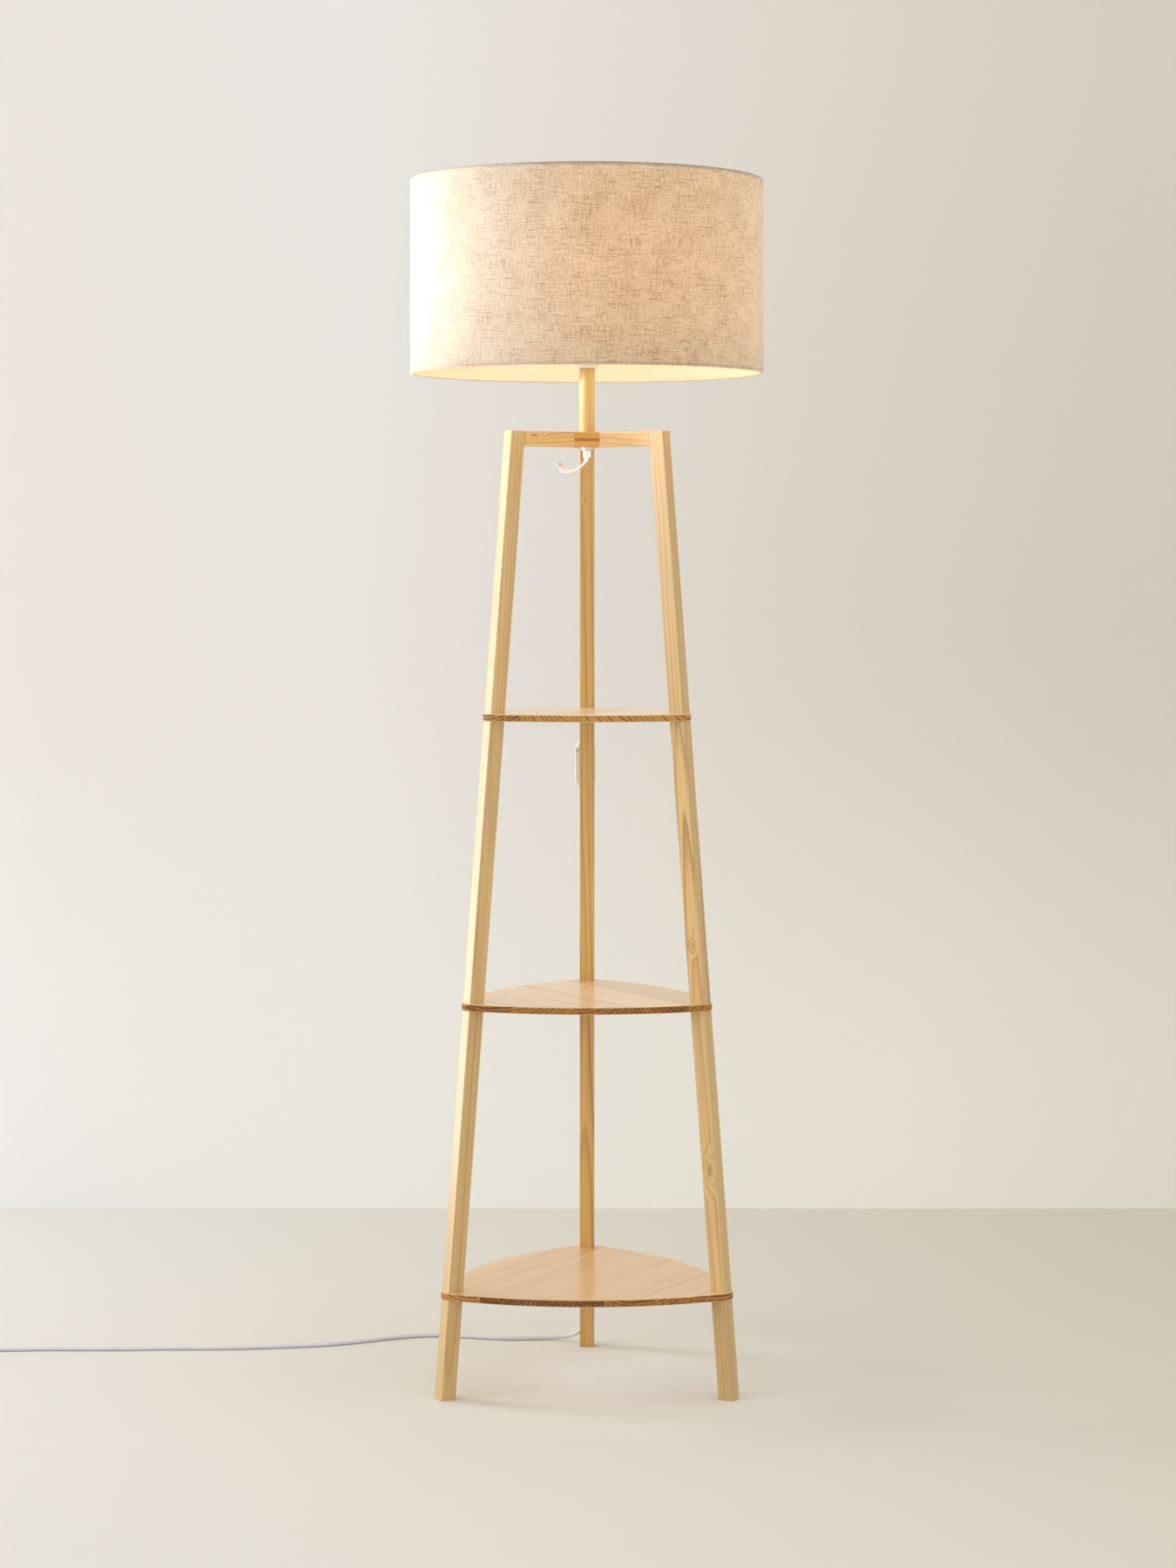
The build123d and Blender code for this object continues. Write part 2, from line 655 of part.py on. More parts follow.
def shade_fabric():
    """Drum of fabric whose edges roll inwards over the wire rings."""
    outer = SHADE_DIAMETER / 2
    inner = outer - FABRIC
    low, high = SHADE_LOW + RIM_ROLL, SHADE_HIGH - RIM_ROLL
    back_in = RIM_RADIUS - RIM_ROLL + FABRIC
    back_out = RIM_RADIUS - RIM_ROLL
    bore = RIM_ROLL - FABRIC
    outline = (
        Line((outer, 0, low), (outer, 0, high))
        + ThreePointArc((outer, 0, high), (RIM_RADIUS, 0, SHADE_HIGH), (back_out, 0, high))
        + Line((back_out, 0, high), (back_in, 0, high))
        + ThreePointArc((back_in, 0, high), (RIM_RADIUS, 0, high + bore), (inner, 0, high))
        + Line((inner, 0, high), (inner, 0, low))
        + ThreePointArc((inner, 0, low), (RIM_RADIUS, 0, low - bore), (back_in, 0, low))
        + Line((back_in, 0, low), (back_out, 0, low))
        + ThreePointArc((back_out, 0, low), (RIM_RADIUS, 0, SHADE_LOW), (outer, 0, low))
    )
    return revolve(make_face(outline), Axis.Z)


def shade_liner():
    """Stiff translucent sheet that the fabric is laminated to."""
    outer = SHADE_DIAMETER - 2 * (FABRIC + LAMINATE_GAP)
    margin = RIM_ROLL + RIM_WIRE / 2 + 0.3
    return ring(outer, outer - 2 * LINER, SHADE_LOW + margin, SHADE_HIGH - margin)


def rim_wire(height):
    return Pos(0, 0, height) * Torus(RIM_RADIUS, RIM_WIRE / 2)


def shade_frame():
    """Lower rim wire, spokes and fitter ring, welded together."""
    low = SEAT + TURN_GAP
    frame = ring(
        FITTER_DIAMETER, HOLDER_DIAMETER + 2 * FITTER_CLEARANCE, low, low + FITTER_THICKNESS
    )
    start = Vector(FITTER_DIAMETER / 2 - 1.5, 0, low + FITTER_THICKNESS / 2)
    end = Vector(RIM_RADIUS, 0, SHADE_LOW + RIM_ROLL + 1.5)
    way = end - start
    spoke = Plane(start, z_dir=way) * Cylinder(RIM_WIRE / 2, way.length, align=ON_BASE)
    frame += rim_wire(SHADE_LOW + RIM_ROLL)
    for step in range(SPOKE_COUNT):
        frame += around(spoke, SPOKE_AZIMUTH + step * 360 / SPOKE_COUNT)
    return frame


# ---- Lead along the lamp ----
def behind_leg(height, standoff, side=LEAD_SIDE):
    """A point behind the rear leg, at a distance from its back face."""
    return Vector(side, leg_radius(height) + LEG_DEPTH / 2 + standoff, height)


def swept(points, diameter, radii=None):
    """A tube on straight runs joined by tangent arcs; prints its radii and volume."""
    points = [Vector(p) for p in points]
    if radii is None:
        radii = []
        for before, here, after in zip(points, points[1:], points[2:]):
            turn = (here - before).get_angle(after - here) * DEG
            run = min((here - before).length, (after - here).length)
            radii.append(0.45 * run / math.tan(turn / 2))
    path = FilletPolyline(*points, radius=radii) if len(points) > 2 else Line(*points)
    start = Plane(path @ 0, z_dir=path % 0)
    tube = sweep(start * Circle(diameter / 2), path=path)
    area = math.pi * diameter**2 / 4
    print("radii", [round(r, 1) for r in radii])
    print("length", round(path.length, 1), "volume over section x length",
          round(tube.volume / (area * path.length), 4))
    return tube


def along_leg(height, distance):
    """A point's height after going down the leg's slope by a distance."""
    return height - distance * math.cos(SPLAY * DEG)


SWITCH_HALF = SWITCH_LENGTH / 2
SWITCH_PLACE = (
    Pos(behind_leg(SWITCH_HEIGHT, SWITCH_STANDOFF)) * Rot(SPLAY, 0, 0)
)
SHELF_STANDOFF = SHELF_LIP + LEAD_RADIUS + 1.6   # of the lead where it passes a shelf


def past_shelf(name, before=36.0, after=36.0):
    """The lead's points where it swings out round a shelf's corner."""
    top = SHELF_HEIGHTS[name]
    low = top - SHELF_THICKNESS
    points = [behind_leg(top + before, LEAD_STANDOFF)] if before else []
    points += [behind_leg(top + 13, SHELF_STANDOFF), behind_leg(low - 13, SHELF_STANDOFF)]
    points += [behind_leg(low - after, LEAD_STANDOFF)] if after else []
    return points


def lead_upper():
    """From the lampholder down the stem, out over the rear arm and down to the switch."""
    corner, way = exit_line()
    fall = corner.Z - LEG_TOP - LEAD_RADIUS - 1.2
    landing = corner + way * (fall / -way.Z)
    back = behind_leg(LEG_TOP, 0).Y
    top_end = Vector(0, 0, STEM_TOP + NIPPLE_IN_CAP + 4)
    switch_top = SWITCH_PLACE.position + Vector(0, -math.sin(SPLAY * DEG), math.cos(SPLAY * DEG)) * (
        SWITCH_HALF - 6
    )
    turn_in = SWITCH_PLACE.position + Vector(0, -math.sin(SPLAY * DEG), math.cos(SPLAY * DEG)) * (
        SWITCH_HALF + 14
    )
    points = [
        top_end,
        corner,
        landing,
        Vector(LEAD_SIDE, back - 40, landing.Z),
        Vector(LEAD_SIDE, back - LEG_BEND + 5.5, LEG_TOP + LEG_BEND),
        Vector(LEAD_SIDE, back + LEG_BEND, LEG_TOP - LEG_BEND + 5.5),
        behind_leg(LEG_TOP - 4 * LEG_BEND, LEAD_STANDOFF),
        *past_shelf("top", after=0),
        turn_in,
        switch_top,
    ]
    radii = []
    for number, (before, here, after) in enumerate(zip(points, points[1:], points[2:])):
        turn = (here - before).get_angle(after - here) * DEG
        run = min((here - before).length, (after - here).length)
        widest = 0.45 * run / math.tan(turn / 2)
        radii.append(min(widest, 14.0) if number == 0 else widest)
    return swept(points, LEAD_DIAMETER, radii)


LEAD_END = behind_leg(CLIP_HEIGHTS[-1] - 3 * CLIP_LENGTH, LEAD_STANDOFF)


def lead_lower():
    """From the switch down the rear leg to the last clip."""
    down = Vector(0, math.sin(SPLAY * DEG), -math.cos(SPLAY * DEG))
    points = [
        SWITCH_PLACE.position + down * (SWITCH_HALF - 6),
        SWITCH_PLACE.position + down * (SWITCH_HALF + 14),
        behind_leg(SWITCH_HEIGHT - SWITCH_HALF - 60, LEAD_STANDOFF),
        *past_shelf("middle"),
        *past_shelf("bottom"),
        LEAD_END,
    ]
    return swept(points, LEAD_DIAMETER)


def clip_place(height):
    """On the rear leg's back at a height: +X across, +Y out, +Z up the leg."""
    spot = Vector(0, leg_radius(height) + LEG_DEPTH / 2, height)
    return Pos(spot) * Rot(SPLAY, 0, 0)


def cord_clip():
    """Moulded saddle over the lead with one nailed tab."""
    bore = LEAD_RADIUS + CLIP_GAP
    wide = bore + CLIP_WALL
    arch = Pos(0, LEAD_STANDOFF) * Circle(wide) + Pos(0, LEAD_STANDOFF / 2) * Rectangle(
        2 * wide, LEAD_STANDOFF
    )
    arch -= Pos(0, LEAD_STANDOFF) * Circle(bore) + Pos(0, LEAD_STANDOFF / 2) * Rectangle(
        2 * bore, LEAD_STANDOFF + 1
    )
    arch &= Pos(0, 10) * Rectangle(40, 20)
    tab = Pos(wide + CLIP_TAB / 2 - 0.5, 1.1) * Rectangle(CLIP_TAB + 1, 2.2)
    saddle = extrude(arch + tab, CLIP_LENGTH / 2, both=True)
    saddle = Pos(LEAD_SIDE, 0, 0) * saddle
    hole = nail_place() * Cylinder(NAIL_DIAMETER / 2 + SCREW_CLEARANCE, 10)
    return saddle - hole


def nail_place():
    wide = LEAD_RADIUS + CLIP_GAP + CLIP_WALL
    return Pos(LEAD_SIDE + wide + CLIP_TAB / 2 + 0.4, 2.2, 0) * Rot(90, 0, 0)


def clip_nail():
    """Round-headed nail through a clip's tab into the leg."""
    shank = Pos(0, 0, 0) * Cylinder(
        NAIL_DIAMETER / 2, NAIL_LENGTH, align=(Align.CENTER, Align.CENTER, Align.MIN)
    )
    head = Pos(0, 0, -1.0) * Cylinder(NAIL_HEAD / 2, 1.0 - 0.05, align=ON_BASE)
    neck = Pos(0, 0, -0.1) * Cylinder(NAIL_DIAMETER / 2, 0.2, align=ON_BASE)
    return nail_place() * (shank + head + neck)


# ---- Switch: +X across, +Y away from the leg, +Z up the lead ----
def case_outline(inset):
    """Elongated outline in the XZ plane with tapered ends."""
    wide, end = SWITCH_WIDTH / 2 - inset, SWITCH_END / 2 - inset
    long, knee = SWITCH_HALF - inset, SWITCH_HALF - SWITCH_TAPER
    corners = [
        (-end, -long), (end, -long), (wide, -knee), (wide, knee),
        (end, long), (-end, long), (-wide, knee), (-wide, -knee),
    ]
    return corners


def case_half(side):
    """One shell of the switch: side +1 faces out, -1 faces the leg."""
    half = SWITCH_THICKNESS / 2
    block = standing(case_outline(0), SWITCH_THICKNESS)
    upright = block.edges().filter_by(Axis.Y)
    block = fillet(upright, 3.0)
    rims = [edge for edge in block.edges() if abs(edge.tangent_at(0.5).Y) < 0.5]
    block = fillet(rims, 2.2)
    block -= standing(case_outline(SWITCH_WALL), SWITCH_THICKNESS - 2 * SWITCH_WALL)
    block -= Cylinder(LEAD_RADIUS + 0.1, SWITCH_LENGTH + 2)
    keep = Pos(0, side * (half + 0.02), 0) * Box(2 * SWITCH_WIDTH, 2 * half, 2 * SWITCH_LENGTH)
    shell = block & keep
    for place in case_screw_places():
        post = place * Rot(90, 0, 0) * Cylinder(CASE_SCREW_HEAD / 2 + 0.9, SWITCH_THICKNESS - 1)
        shell += (post & keep) & standing(case_outline(0.5), SWITCH_THICKNESS)
    return shell


def case_screw_places():
    across = SWITCH_WIDTH / 2 - SWITCH_WALL - CASE_SCREW_HEAD / 2 + 0.6
    along = SWITCH_HALF - SWITCH_TAPER - 1.0
    return [Pos(-across, 0, along), Pos(across, 0, -along)]


def case_screw():
    """Countersunk-free pan screw, its head towards the leg."""
    half = SWITCH_THICKNESS / 2
    head = Pos(0, 0, half - 3.0) * Cylinder(CASE_SCREW_HEAD / 2, 1.8, align=ON_BASE)
    shank = Pos(0, 0, half - 3.0 - 11) * Cylinder(CASE_SCREW_DIAMETER / 2, 11, align=ON_BASE)
    return Rot(90, 0, 0) * (head + shank)


def case_screw_bore():
    half = SWITCH_THICKNESS / 2
    head = Pos(0, 0, half - 3.05) * Cylinder(CASE_SCREW_HEAD / 2 + 0.1, 10, align=ON_BASE)
    shank = Pos(0, 0, half - 3.0 - 12) * Cylinder(CASE_SCREW_DIAMETER / 2 + 0.05, 14, align=ON_BASE)
    return Rot(90, 0, 0) * (head + shank)


ROCKER_PIVOT = SWITCH_THICKNESS / 2 - 2.4      # the rocker's axis from the parting plane
ROCKER_ARC = ROCKER_LENGTH / 2                 # radius of its ends about that axis


def switch_front():
    """Outer shell with the rocker's window and its two bearings."""
    shell = case_half(1)
    window = Pos(0, SWITCH_THICKNESS / 2, 0) * Box(
        ROCKER_WIDTH + 2 * ROCKER_GAP, 2 * SWITCH_WALL + 2, ROCKER_LENGTH + 2 * ROCKER_GAP
    )
    shell -= window
    for side in (-1, 1):
        cheek_low = ROCKER_PIVOT - 3.2
        cheek_high = SWITCH_THICKNESS / 2 - SWITCH_WALL / 2
        cheek = Pos(
            side * (ROCKER_WIDTH / 2 + ROCKER_GAP + 1.0), (cheek_low + cheek_high) / 2, 0
        ) * Box(2.0, cheek_high - cheek_low, 7)
        shell += cheek
    shell -= Pos(0, ROCKER_PIVOT, 0) * Rot(0, 90, 0) * Cylinder(
        PIVOT_DIAMETER / 2 + PIVOT_CLEARANCE, ROCKER_WIDTH + 2 * ROCKER_GAP + 2 * 1.6
    )
    for place in case_screw_places():
        shell -= place * case_screw_bore()
    return shell


def switch_back():
    shell = case_half(-1)
    for place in case_screw_places():
        shell -= place * case_screw_bore()
    return shell


def rocker():
    """See-saw button with two dished faces, on its pivot pins, resting pressed in at its lower end."""
    half = ROCKER_WIDTH / 2
    reach = ROCKER_ARC
    lift = 1.9                                  # crest of the button above its axis
    tall = 4.2
    end = math.sqrt(reach**2 - tall**2)
    deep = math.sqrt(reach**2 - 2.0**2)
    profile = (
        Polyline((0, -deep, -2.0), (0, 0, -3.4), (0, deep, -2.0))
        + ThreePointArc((0, deep, -2.0), (0, reach, 0), (0, end, tall))
        + ThreePointArc((0, end, tall), (0, end / 2, lift + 1.5), (0, 0, lift + 1.4))
        + ThreePointArc((0, 0, lift + 1.4), (0, -end / 2, lift + 1.5), (0, -end, tall))
        + ThreePointArc((0, -end, tall), (0, -reach, 0), (0, -deep, -2.0))
    )
    button = extrude(make_face(profile), half, dir=(1, 0, 0), both=True)
    pins = Rot(0, 90, 0) * Cylinder(PIVOT_DIAMETER / 2, ROCKER_WIDTH + 2 * ROCKER_GAP + 2.8)
    upright = Rot(-90, 0, 0) * (button + pins)
    return Pos(0, ROCKER_PIVOT, 0) * Rot(-ROCKER_TILT, 0, 0) * upright


def switch_contacts():
    """Two brass strips that carry the switched conductor past the rocker."""
    strips = []
    for side in (-1, 1):
        z = side * 13.0
        strip = Pos(0, -SWITCH_THICKNESS / 2 + SWITCH_WALL + 0.5, z) * Box(5, 0.8, 12)
        strips.append(strip)
    return Compound(strips)


# ---- Free cord on the floor ----
COIL_Y = LEAD_END.Y + COIL_BEHIND
FLOOR = LEAD_RADIUS + FLOOR_LIFT
FLOOR_ROUTE = [              # (x, distance behind the held lead's end)
    (-70.0, 23.0),
    (-115.0, 20.5),
    (-163.0, 35.0),
    (-213.0, 44.5),
    (-261.0, 27.5),
    (-304.0, 2.0),
    (-352.0, -18.0),
    (-411.0, -28.5),
    (-478.0, -38.0),
    (-553.0, -37.5),
    (-632.0, -42.5),
    (-706.0, -40.5),
    (-768.0, -46.0),
]


def floor_cord():
    """From the last clip down behind the rear foot and away across the floor."""
    points = [
        LEAD_END,
        behind_leg(26.0, LEAD_STANDOFF),
        Vector(-15.0, LEAD_END.Y + 13.0, FLOOR + 5.6),
        Vector(-42.0, LEAD_END.Y + 24.4, FLOOR + 0.85),
        *[Vector(x, LEAD_END.Y + behind, FLOOR) for x, behind in FLOOR_ROUTE],
        (COIL_X + LEAD_DIAMETER + 22, COIL_Y, COIL_RISE),
        (COIL_X + LEAD_DIAMETER, COIL_Y, COIL_RISE),
    ]
    return swept(points, LEAD_DIAMETER)


def half_turn(start, radius, side, rise):
    """A semicircle that leaves along X (side -1: towards -X) and may climb."""
    lift = math.atan2(rise / 2, radius)
    across = Vector(0, math.cos(lift) * side, math.sin(lift))
    reach = math.hypot(radius, rise / 2)
    ahead = Vector(side, 0, 0)
    middle = start + across * reach + ahead * reach
    return ThreePointArc(start, middle, start + across * (2 * reach))


def coil_path():
    """Spiral in on the floor, climb a layer in a half turn, and spiral out on top."""
    step = COIL_PITCH / 2
    radii = [COIL_RADIUS - step * n for n in (0, 1, 2, 3, 4, 3, 2, 1)]
    start = Vector(COIL_X, COIL_Y, COIL_RISE)
    edges = [Line(start + Vector(LEAD_DIAMETER, 0, 0), start)]
    for number, radius in enumerate(radii):
        rise = COIL_LAYER if number == 4 else 0.0
        side = -1 if number % 2 == 0 else 1
        edges.append(half_turn(start, radius, side, rise))
        start = edges[-1] @ 1
    edges.append(Line(start, start - Vector(LEAD_DIAMETER, 0, 0)))
    return edges


def cord_coil():
    edges = coil_path()
    path = Wire([edge for part in edges for edge in part.edges()])
    tube = sweep(Plane(path @ 0, z_dir=path % 0) * Circle(LEAD_RADIUS), path=path)
    marks, apart = 900, []
    line = [path @ (n / marks) for n in range(marks + 1)]
    step = path.length / marks
    skip = int(3 * LEAD_DIAMETER / step)
    for n, here in enumerate(line):
        for other in line[n + skip :: 2]:
            apart.append((here - other).length)
    area = math.pi * LEAD_RADIUS**2
    print("coil length", round(path.length, 1), "least gap", round(min(apart) - LEAD_DIAMETER, 2),
          "volume over section x length", round(tube.volume / (area * path.length), 4))
    return tube


COIL_END = coil_path()[-1] @ 1
PLUG_AXIS = PLUG_THICKNESS / 2 + 0.1
PLUG_START = Vector(COIL_X - TAIL_REACH, COIL_Y + TAIL_SWING, PLUG_AXIS)


def cord_tail():
    """From the coil's last turn down to the plug."""
    points = [
        COIL_END,
        COIL_END + Vector(-26, 0, 0),
        PLUG_START + Vector(26, 0, 0),
        PLUG_START,
    ]
    return swept(points, LEAD_DIAMETER)


def cord_tie():
    """Band round the coil where its turns lie two by two."""
    step = COIL_PITCH / 2
    inside = COIL_X + COIL_RADIUS - 3 * step - LEAD_RADIUS - TIE_GAP - TIE_SLACK
    outside = COIL_X + COIL_RADIUS - step + LEAD_RADIUS + TIE_GAP
    low = COIL_RISE - LEAD_RADIUS - TIE_GAP
    high = COIL_RISE + COIL_LAYER + LEAD_RADIUS + TIE_GAP
    width, height = outside - inside, high - low
    hole = RectangleRounded(width, height, LEAD_RADIUS * 0.8)
    band = RectangleRounded(
        width + 2 * TIE_WALL, height + 2 * TIE_WALL, LEAD_RADIUS * 0.8 + TIE_WALL
    )
    loop = extrude(band - hole, TIE_WIDTH / 2, both=True)
    return Pos((inside + outside) / 2, COIL_Y - COIL_RADIUS, (low + high) / 2) * (
        Rot(90, 0, 0) * loop
    )


# ---- Plug: drawn with the cord end at the origin and the pins towards -X ----
def plug_body():
    nose, wide = PLUG_NOSE / 2, PLUG_WIDTH / 2
    start, end = -RELIEF_LENGTH, -RELIEF_LENGTH - PLUG_LENGTH
    outline = Polyline(
        (start, -nose / 2, 0), (start - 9, -wide + 3, 0), (start - 20, -wide, 0), (end, -nose, 0),
        (end, nose, 0), (start - 20, wide, 0), (start - 9, wide - 3, 0), (start, nose / 2, 0),
        close=True,
    )
    body = extrude(make_face(outline), PLUG_THICKNESS / 2, dir=(0, 0, 1), both=True)
    upright = body.edges().filter_by(Axis.Z)
    body = fillet(upright, 3.0)
    rims = [edge for edge in body.edges() if abs(edge.tangent_at(0.5).Z) < 0.5]
    body = fillet(rims, 2.4)
    for side in (-1, 1):
        place = Pos(end, side * PIN_SPACING / 2, 0) * Rot(0, -90, 0)
        body += place * Cylinder(PIN_SLEEVE_DIAMETER / 2, PIN_SLEEVE_LENGTH, align=ON_BASE)
        length = PIN_DEPTH + PIN_SLEEVE_LENGTH + SCREW_CLEARANCE
        body -= (
            place
            * Pos(0, 0, PIN_SLEEVE_LENGTH - length)
            * Cylinder(PIN_SHANK_DIAMETER / 2 + SCREW_CLEARANCE, length + 1, align=ON_BASE)
        )
    return body


def plug_pins():
    end = -RELIEF_LENGTH - PLUG_LENGTH
    pins = []
    tip = PIN_LENGTH - PIN_SLEEVE_LENGTH - SCREW_CLEARANCE
    for side in (-1, 1):
        pin = Cylinder(PIN_DIAMETER / 2, tip, align=ON_BASE)
        pin = fillet(pin.edges().group_by(Axis.Z)[0], PIN_DIAMETER / 2 * 0.9)
        shank = PIN_SLEEVE_LENGTH + PIN_DEPTH + SCREW_CLEARANCE
        pin += Pos(0, 0, tip) * Cylinder(PIN_SHANK_DIAMETER / 2, shank, align=ON_BASE)
        pins.append(Pos(end - PIN_LENGTH, side * PIN_SPACING / 2, 0) * Rot(0, 90, 0) * pin)
    return Compound(pins)


def plug_relief():
    """Tapered, ribbed sleeve moulded on the cord where it enters the plug."""
    wide, slim = RELIEF_DIAMETER / 2, LEAD_RADIUS + 0.6
    bore = LEAD_RADIUS + SCREW_CLEARANCE
    corners = [(bore, 0.0), (slim, 0.0)]
    ribs = 6
    pitch = (RELIEF_LENGTH - 6) / ribs
    for number in range(ribs):
        here = slim + (wide - slim) * (number + 1) / ribs
        start = 2 + number * pitch
        corners += [
            (here - 0.5, start), (here, start + 0.6), (here, start + pitch - 1.4),
            (here - 0.7, start + pitch - 0.8),
        ]
    corners += [(wide, RELIEF_LENGTH - 0.1), (0.0, RELIEF_LENGTH - 0.1), (0.0, 1.0), (bore, 1.0)]
    return Rot(0, -90, 0) * turn_up(*corners)


# ---- Writing ----
os.makedirs("parts", exist_ok=True)

for shelf_name in SHELF_ORDER:
    write(shelf(SHELF_HEIGHTS[shelf_name]), f"shelf_{shelf_name}")
for part_name in LEG_SPANS:
    piece = leg(part_name)
    for side_name, azimuth in LEG_AZIMUTHS.items():
        placed = around(piece, azimuth)
        if side_name == "rear":
            for height in CLIP_HEIGHTS:
                low, high = LEG_SPANS[part_name]
                if low < height < high:
                    placed -= clip_place(height) * nail_place() * Cylinder(
                        NAIL_DIAMETER / 2 + SCREW_CLEARANCE, NAIL_LENGTH + 0.5, align=ON_BASE
                    )
        write(placed, f"leg_{side_name}_{part_name}")
for side_name, azimuth in LEG_AZIMUTHS.items():
    write(around(arm(), azimuth), f"arm_{side_name}")

places = [
    Rot(0, 0, azimuth) * on_leg(height)
    for height in SHELF_HEIGHTS.values()
    for azimuth in LEG_AZIMUTHS.values()
]
write(Compound([place * stud() for place in places]), "leg_studs")
write(Compound([place * insert_nut() for place in places]), "leg_insert_nuts")
write(round_legs(dowel_at_hub(0)), "hub_dowels")
write(hub(), "hub_block")

write(stem(), "stem_tube")
write(stem_bolt(), "stem_bolt")
write(
    ring(
        STEM_INSERT_DIAMETER,
        BOLT_DIAMETER + 2 * SCREW_CLEARANCE,
        STEM_BASE + 0.3,
        STEM_BASE + STEM_INSERT_LENGTH,
    ),
    "stem_insert_nut",
)
write(grommet(), "stem_grommet")
write(
    ring(NIPPLE_DIAMETER, NIPPLE_BORE, STEM_TOP - NIPPLE_IN_STEM, STEM_TOP + NIPPLE_IN_CAP),
    "stem_nipple",
)
write(hook_flange(), "hook_flange")
write(hook(), "hook")

write(holder_cap(), "holder_cap")
write(holder_body(), "holder_body")
write(holder_insert(), "holder_insert")
write(holder_shell(), "holder_shell")
write(holder_contact(), "holder_contact")
write(shade_ring_nut(), "shade_ring_nut")
for node, shape in bulb_pieces().items():
    write(shape, node)

write(shade_fabric(), "shade_fabric")
write(shade_liner(), "shade_liner")
write(shade_frame(), "shade_frame")
write(rim_wire(SHADE_HIGH - RIM_ROLL), "shade_top_ring")

write(lead_upper(), "lead_upper")
write(lead_lower(), "lead_lower")
clip = cord_clip()
write(Compound([clip_place(height) * clip for height in CLIP_HEIGHTS]), "cord_clips")
nail = clip_nail()
write(Compound([clip_place(height) * nail for height in CLIP_HEIGHTS]), "clip_nails")
write(SWITCH_PLACE * switch_front(), "switch_front")
write(SWITCH_PLACE * switch_back(), "switch_back")
write(SWITCH_PLACE * rocker(), "switch_rocker")
write(SWITCH_PLACE * switch_contacts(), "switch_contacts")
write(
    Compound([SWITCH_PLACE * place * case_screw() for place in case_screw_places()]),
    "switch_screws",
)

write(floor_cord(), "floor_cord")
write(cord_coil(), "cord_coil")
write(cord_tail(), "cord_tail")
write(cord_tie(), "cord_tie")
write(Pos(PLUG_START) * plug_body(), "plug_body")
write(Pos(PLUG_START) * plug_pins(), "plug_pins")
write(Pos(PLUG_START) * plug_relief(), "plug_relief")
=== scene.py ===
import math

import bpy
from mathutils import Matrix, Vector


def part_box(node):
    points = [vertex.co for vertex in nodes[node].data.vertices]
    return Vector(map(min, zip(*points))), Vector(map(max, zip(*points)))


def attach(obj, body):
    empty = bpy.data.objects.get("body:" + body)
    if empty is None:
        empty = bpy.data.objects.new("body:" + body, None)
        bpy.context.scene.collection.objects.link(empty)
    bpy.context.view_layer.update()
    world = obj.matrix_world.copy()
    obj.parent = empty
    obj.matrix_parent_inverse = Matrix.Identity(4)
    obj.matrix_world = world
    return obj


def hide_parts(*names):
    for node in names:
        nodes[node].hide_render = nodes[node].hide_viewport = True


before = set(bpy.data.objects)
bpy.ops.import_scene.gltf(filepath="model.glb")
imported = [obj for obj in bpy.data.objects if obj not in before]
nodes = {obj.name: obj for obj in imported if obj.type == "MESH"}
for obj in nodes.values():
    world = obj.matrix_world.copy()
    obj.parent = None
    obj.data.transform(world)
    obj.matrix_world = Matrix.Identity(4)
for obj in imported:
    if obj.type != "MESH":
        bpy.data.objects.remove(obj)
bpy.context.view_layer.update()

scene = bpy.context.scene


# ---- Where it is seen from ----
# Level, from 4.55 m in front, with the picture's frame slid down so that the lamp's
# uprights stay upright in it.
camera = bpy.data.objects.new("camera", bpy.data.cameras.new("camera"))
camera.data.sensor_width = 36.0
camera.data.lens = 81.94
camera.data.shift_y = -0.1408
camera.location = (0.0013, -4.552, 1.0423)
camera.rotation_euler = (math.radians(90), 0, 0)
scene.collection.objects.link(camera)
scene.camera = camera


# ---- Legs ----
# Square bars of pale lacquered pine, four lengths to a leg, each cut from its own
# board, so the grain runs along the bar and starts afresh at every shelf.
LEG_TOP = 1.209                    # height of the legs' upper ends
LEG_TOP_RADIUS = 0.105             # from the lamp's axis to a leg's centre line up there
LEG_FOOT_RADIUS = 0.2045           # and on the floor
LEG_LEAN = math.atan2(LEG_FOOT_RADIUS - LEG_TOP_RADIUS, LEG_TOP)
PINE_PALE = (0.685, 0.455, 0.178, 1)
PINE_DARK = (0.41, 0.205, 0.050, 1)
# Cycles to the metre across, across and along the grain.
BENDS = (17, 17, 2.6)
FIBRES = (1300, 1300, 24)
STREAKS = (260, 260, 4.0)
TONES = (11, 11, 1.7)
KNOT_SHAPE = (1, 1, 0.4)           # a knot drags the grain further along than across
KNOT_SWERVE = 2.6                  # rings that bend round its middle
NEXT_TO_NOTHING = 0.000001         # stands in for the size of a knot that isn't there
RELIEF = 0.0001                    # depth of the open grain under the lacquer


def add(tree, kind, inputs=None, **settings):
    """A node with its settings made and its inputs set or linked; returns the node."""
    made = tree.nodes.new(kind)
    for name, value in settings.items():
        setattr(made, name, value)
    for key, value in (inputs or {}).items():
        if isinstance(value, bpy.types.NodeSocket):
            tree.links.new(value, made.inputs[key])
        else:
            made.inputs[key].default_value = value
    return made


def math_node(tree, operation, *values):
    return add(tree, "ShaderNodeMath", dict(enumerate(values)), operation=operation).outputs[0]


def vector_node(tree, operation, *values):
    """A vector worked out from others, or a number for LENGTH and DISTANCE."""
    made = add(tree, "ShaderNodeVectorMath", dict(enumerate(values)), operation=operation)
    return made.outputs["Value" if operation in ("LENGTH", "DISTANCE") else "Vector"]


def scaled(tree, vector, factor):
    return add(tree, "ShaderNodeVectorMath", {0: vector, "Scale": factor},
               operation="SCALE").outputs[0]


def parts(tree, vector):
    return add(tree, "ShaderNodeSeparateXYZ", {0: vector}).outputs


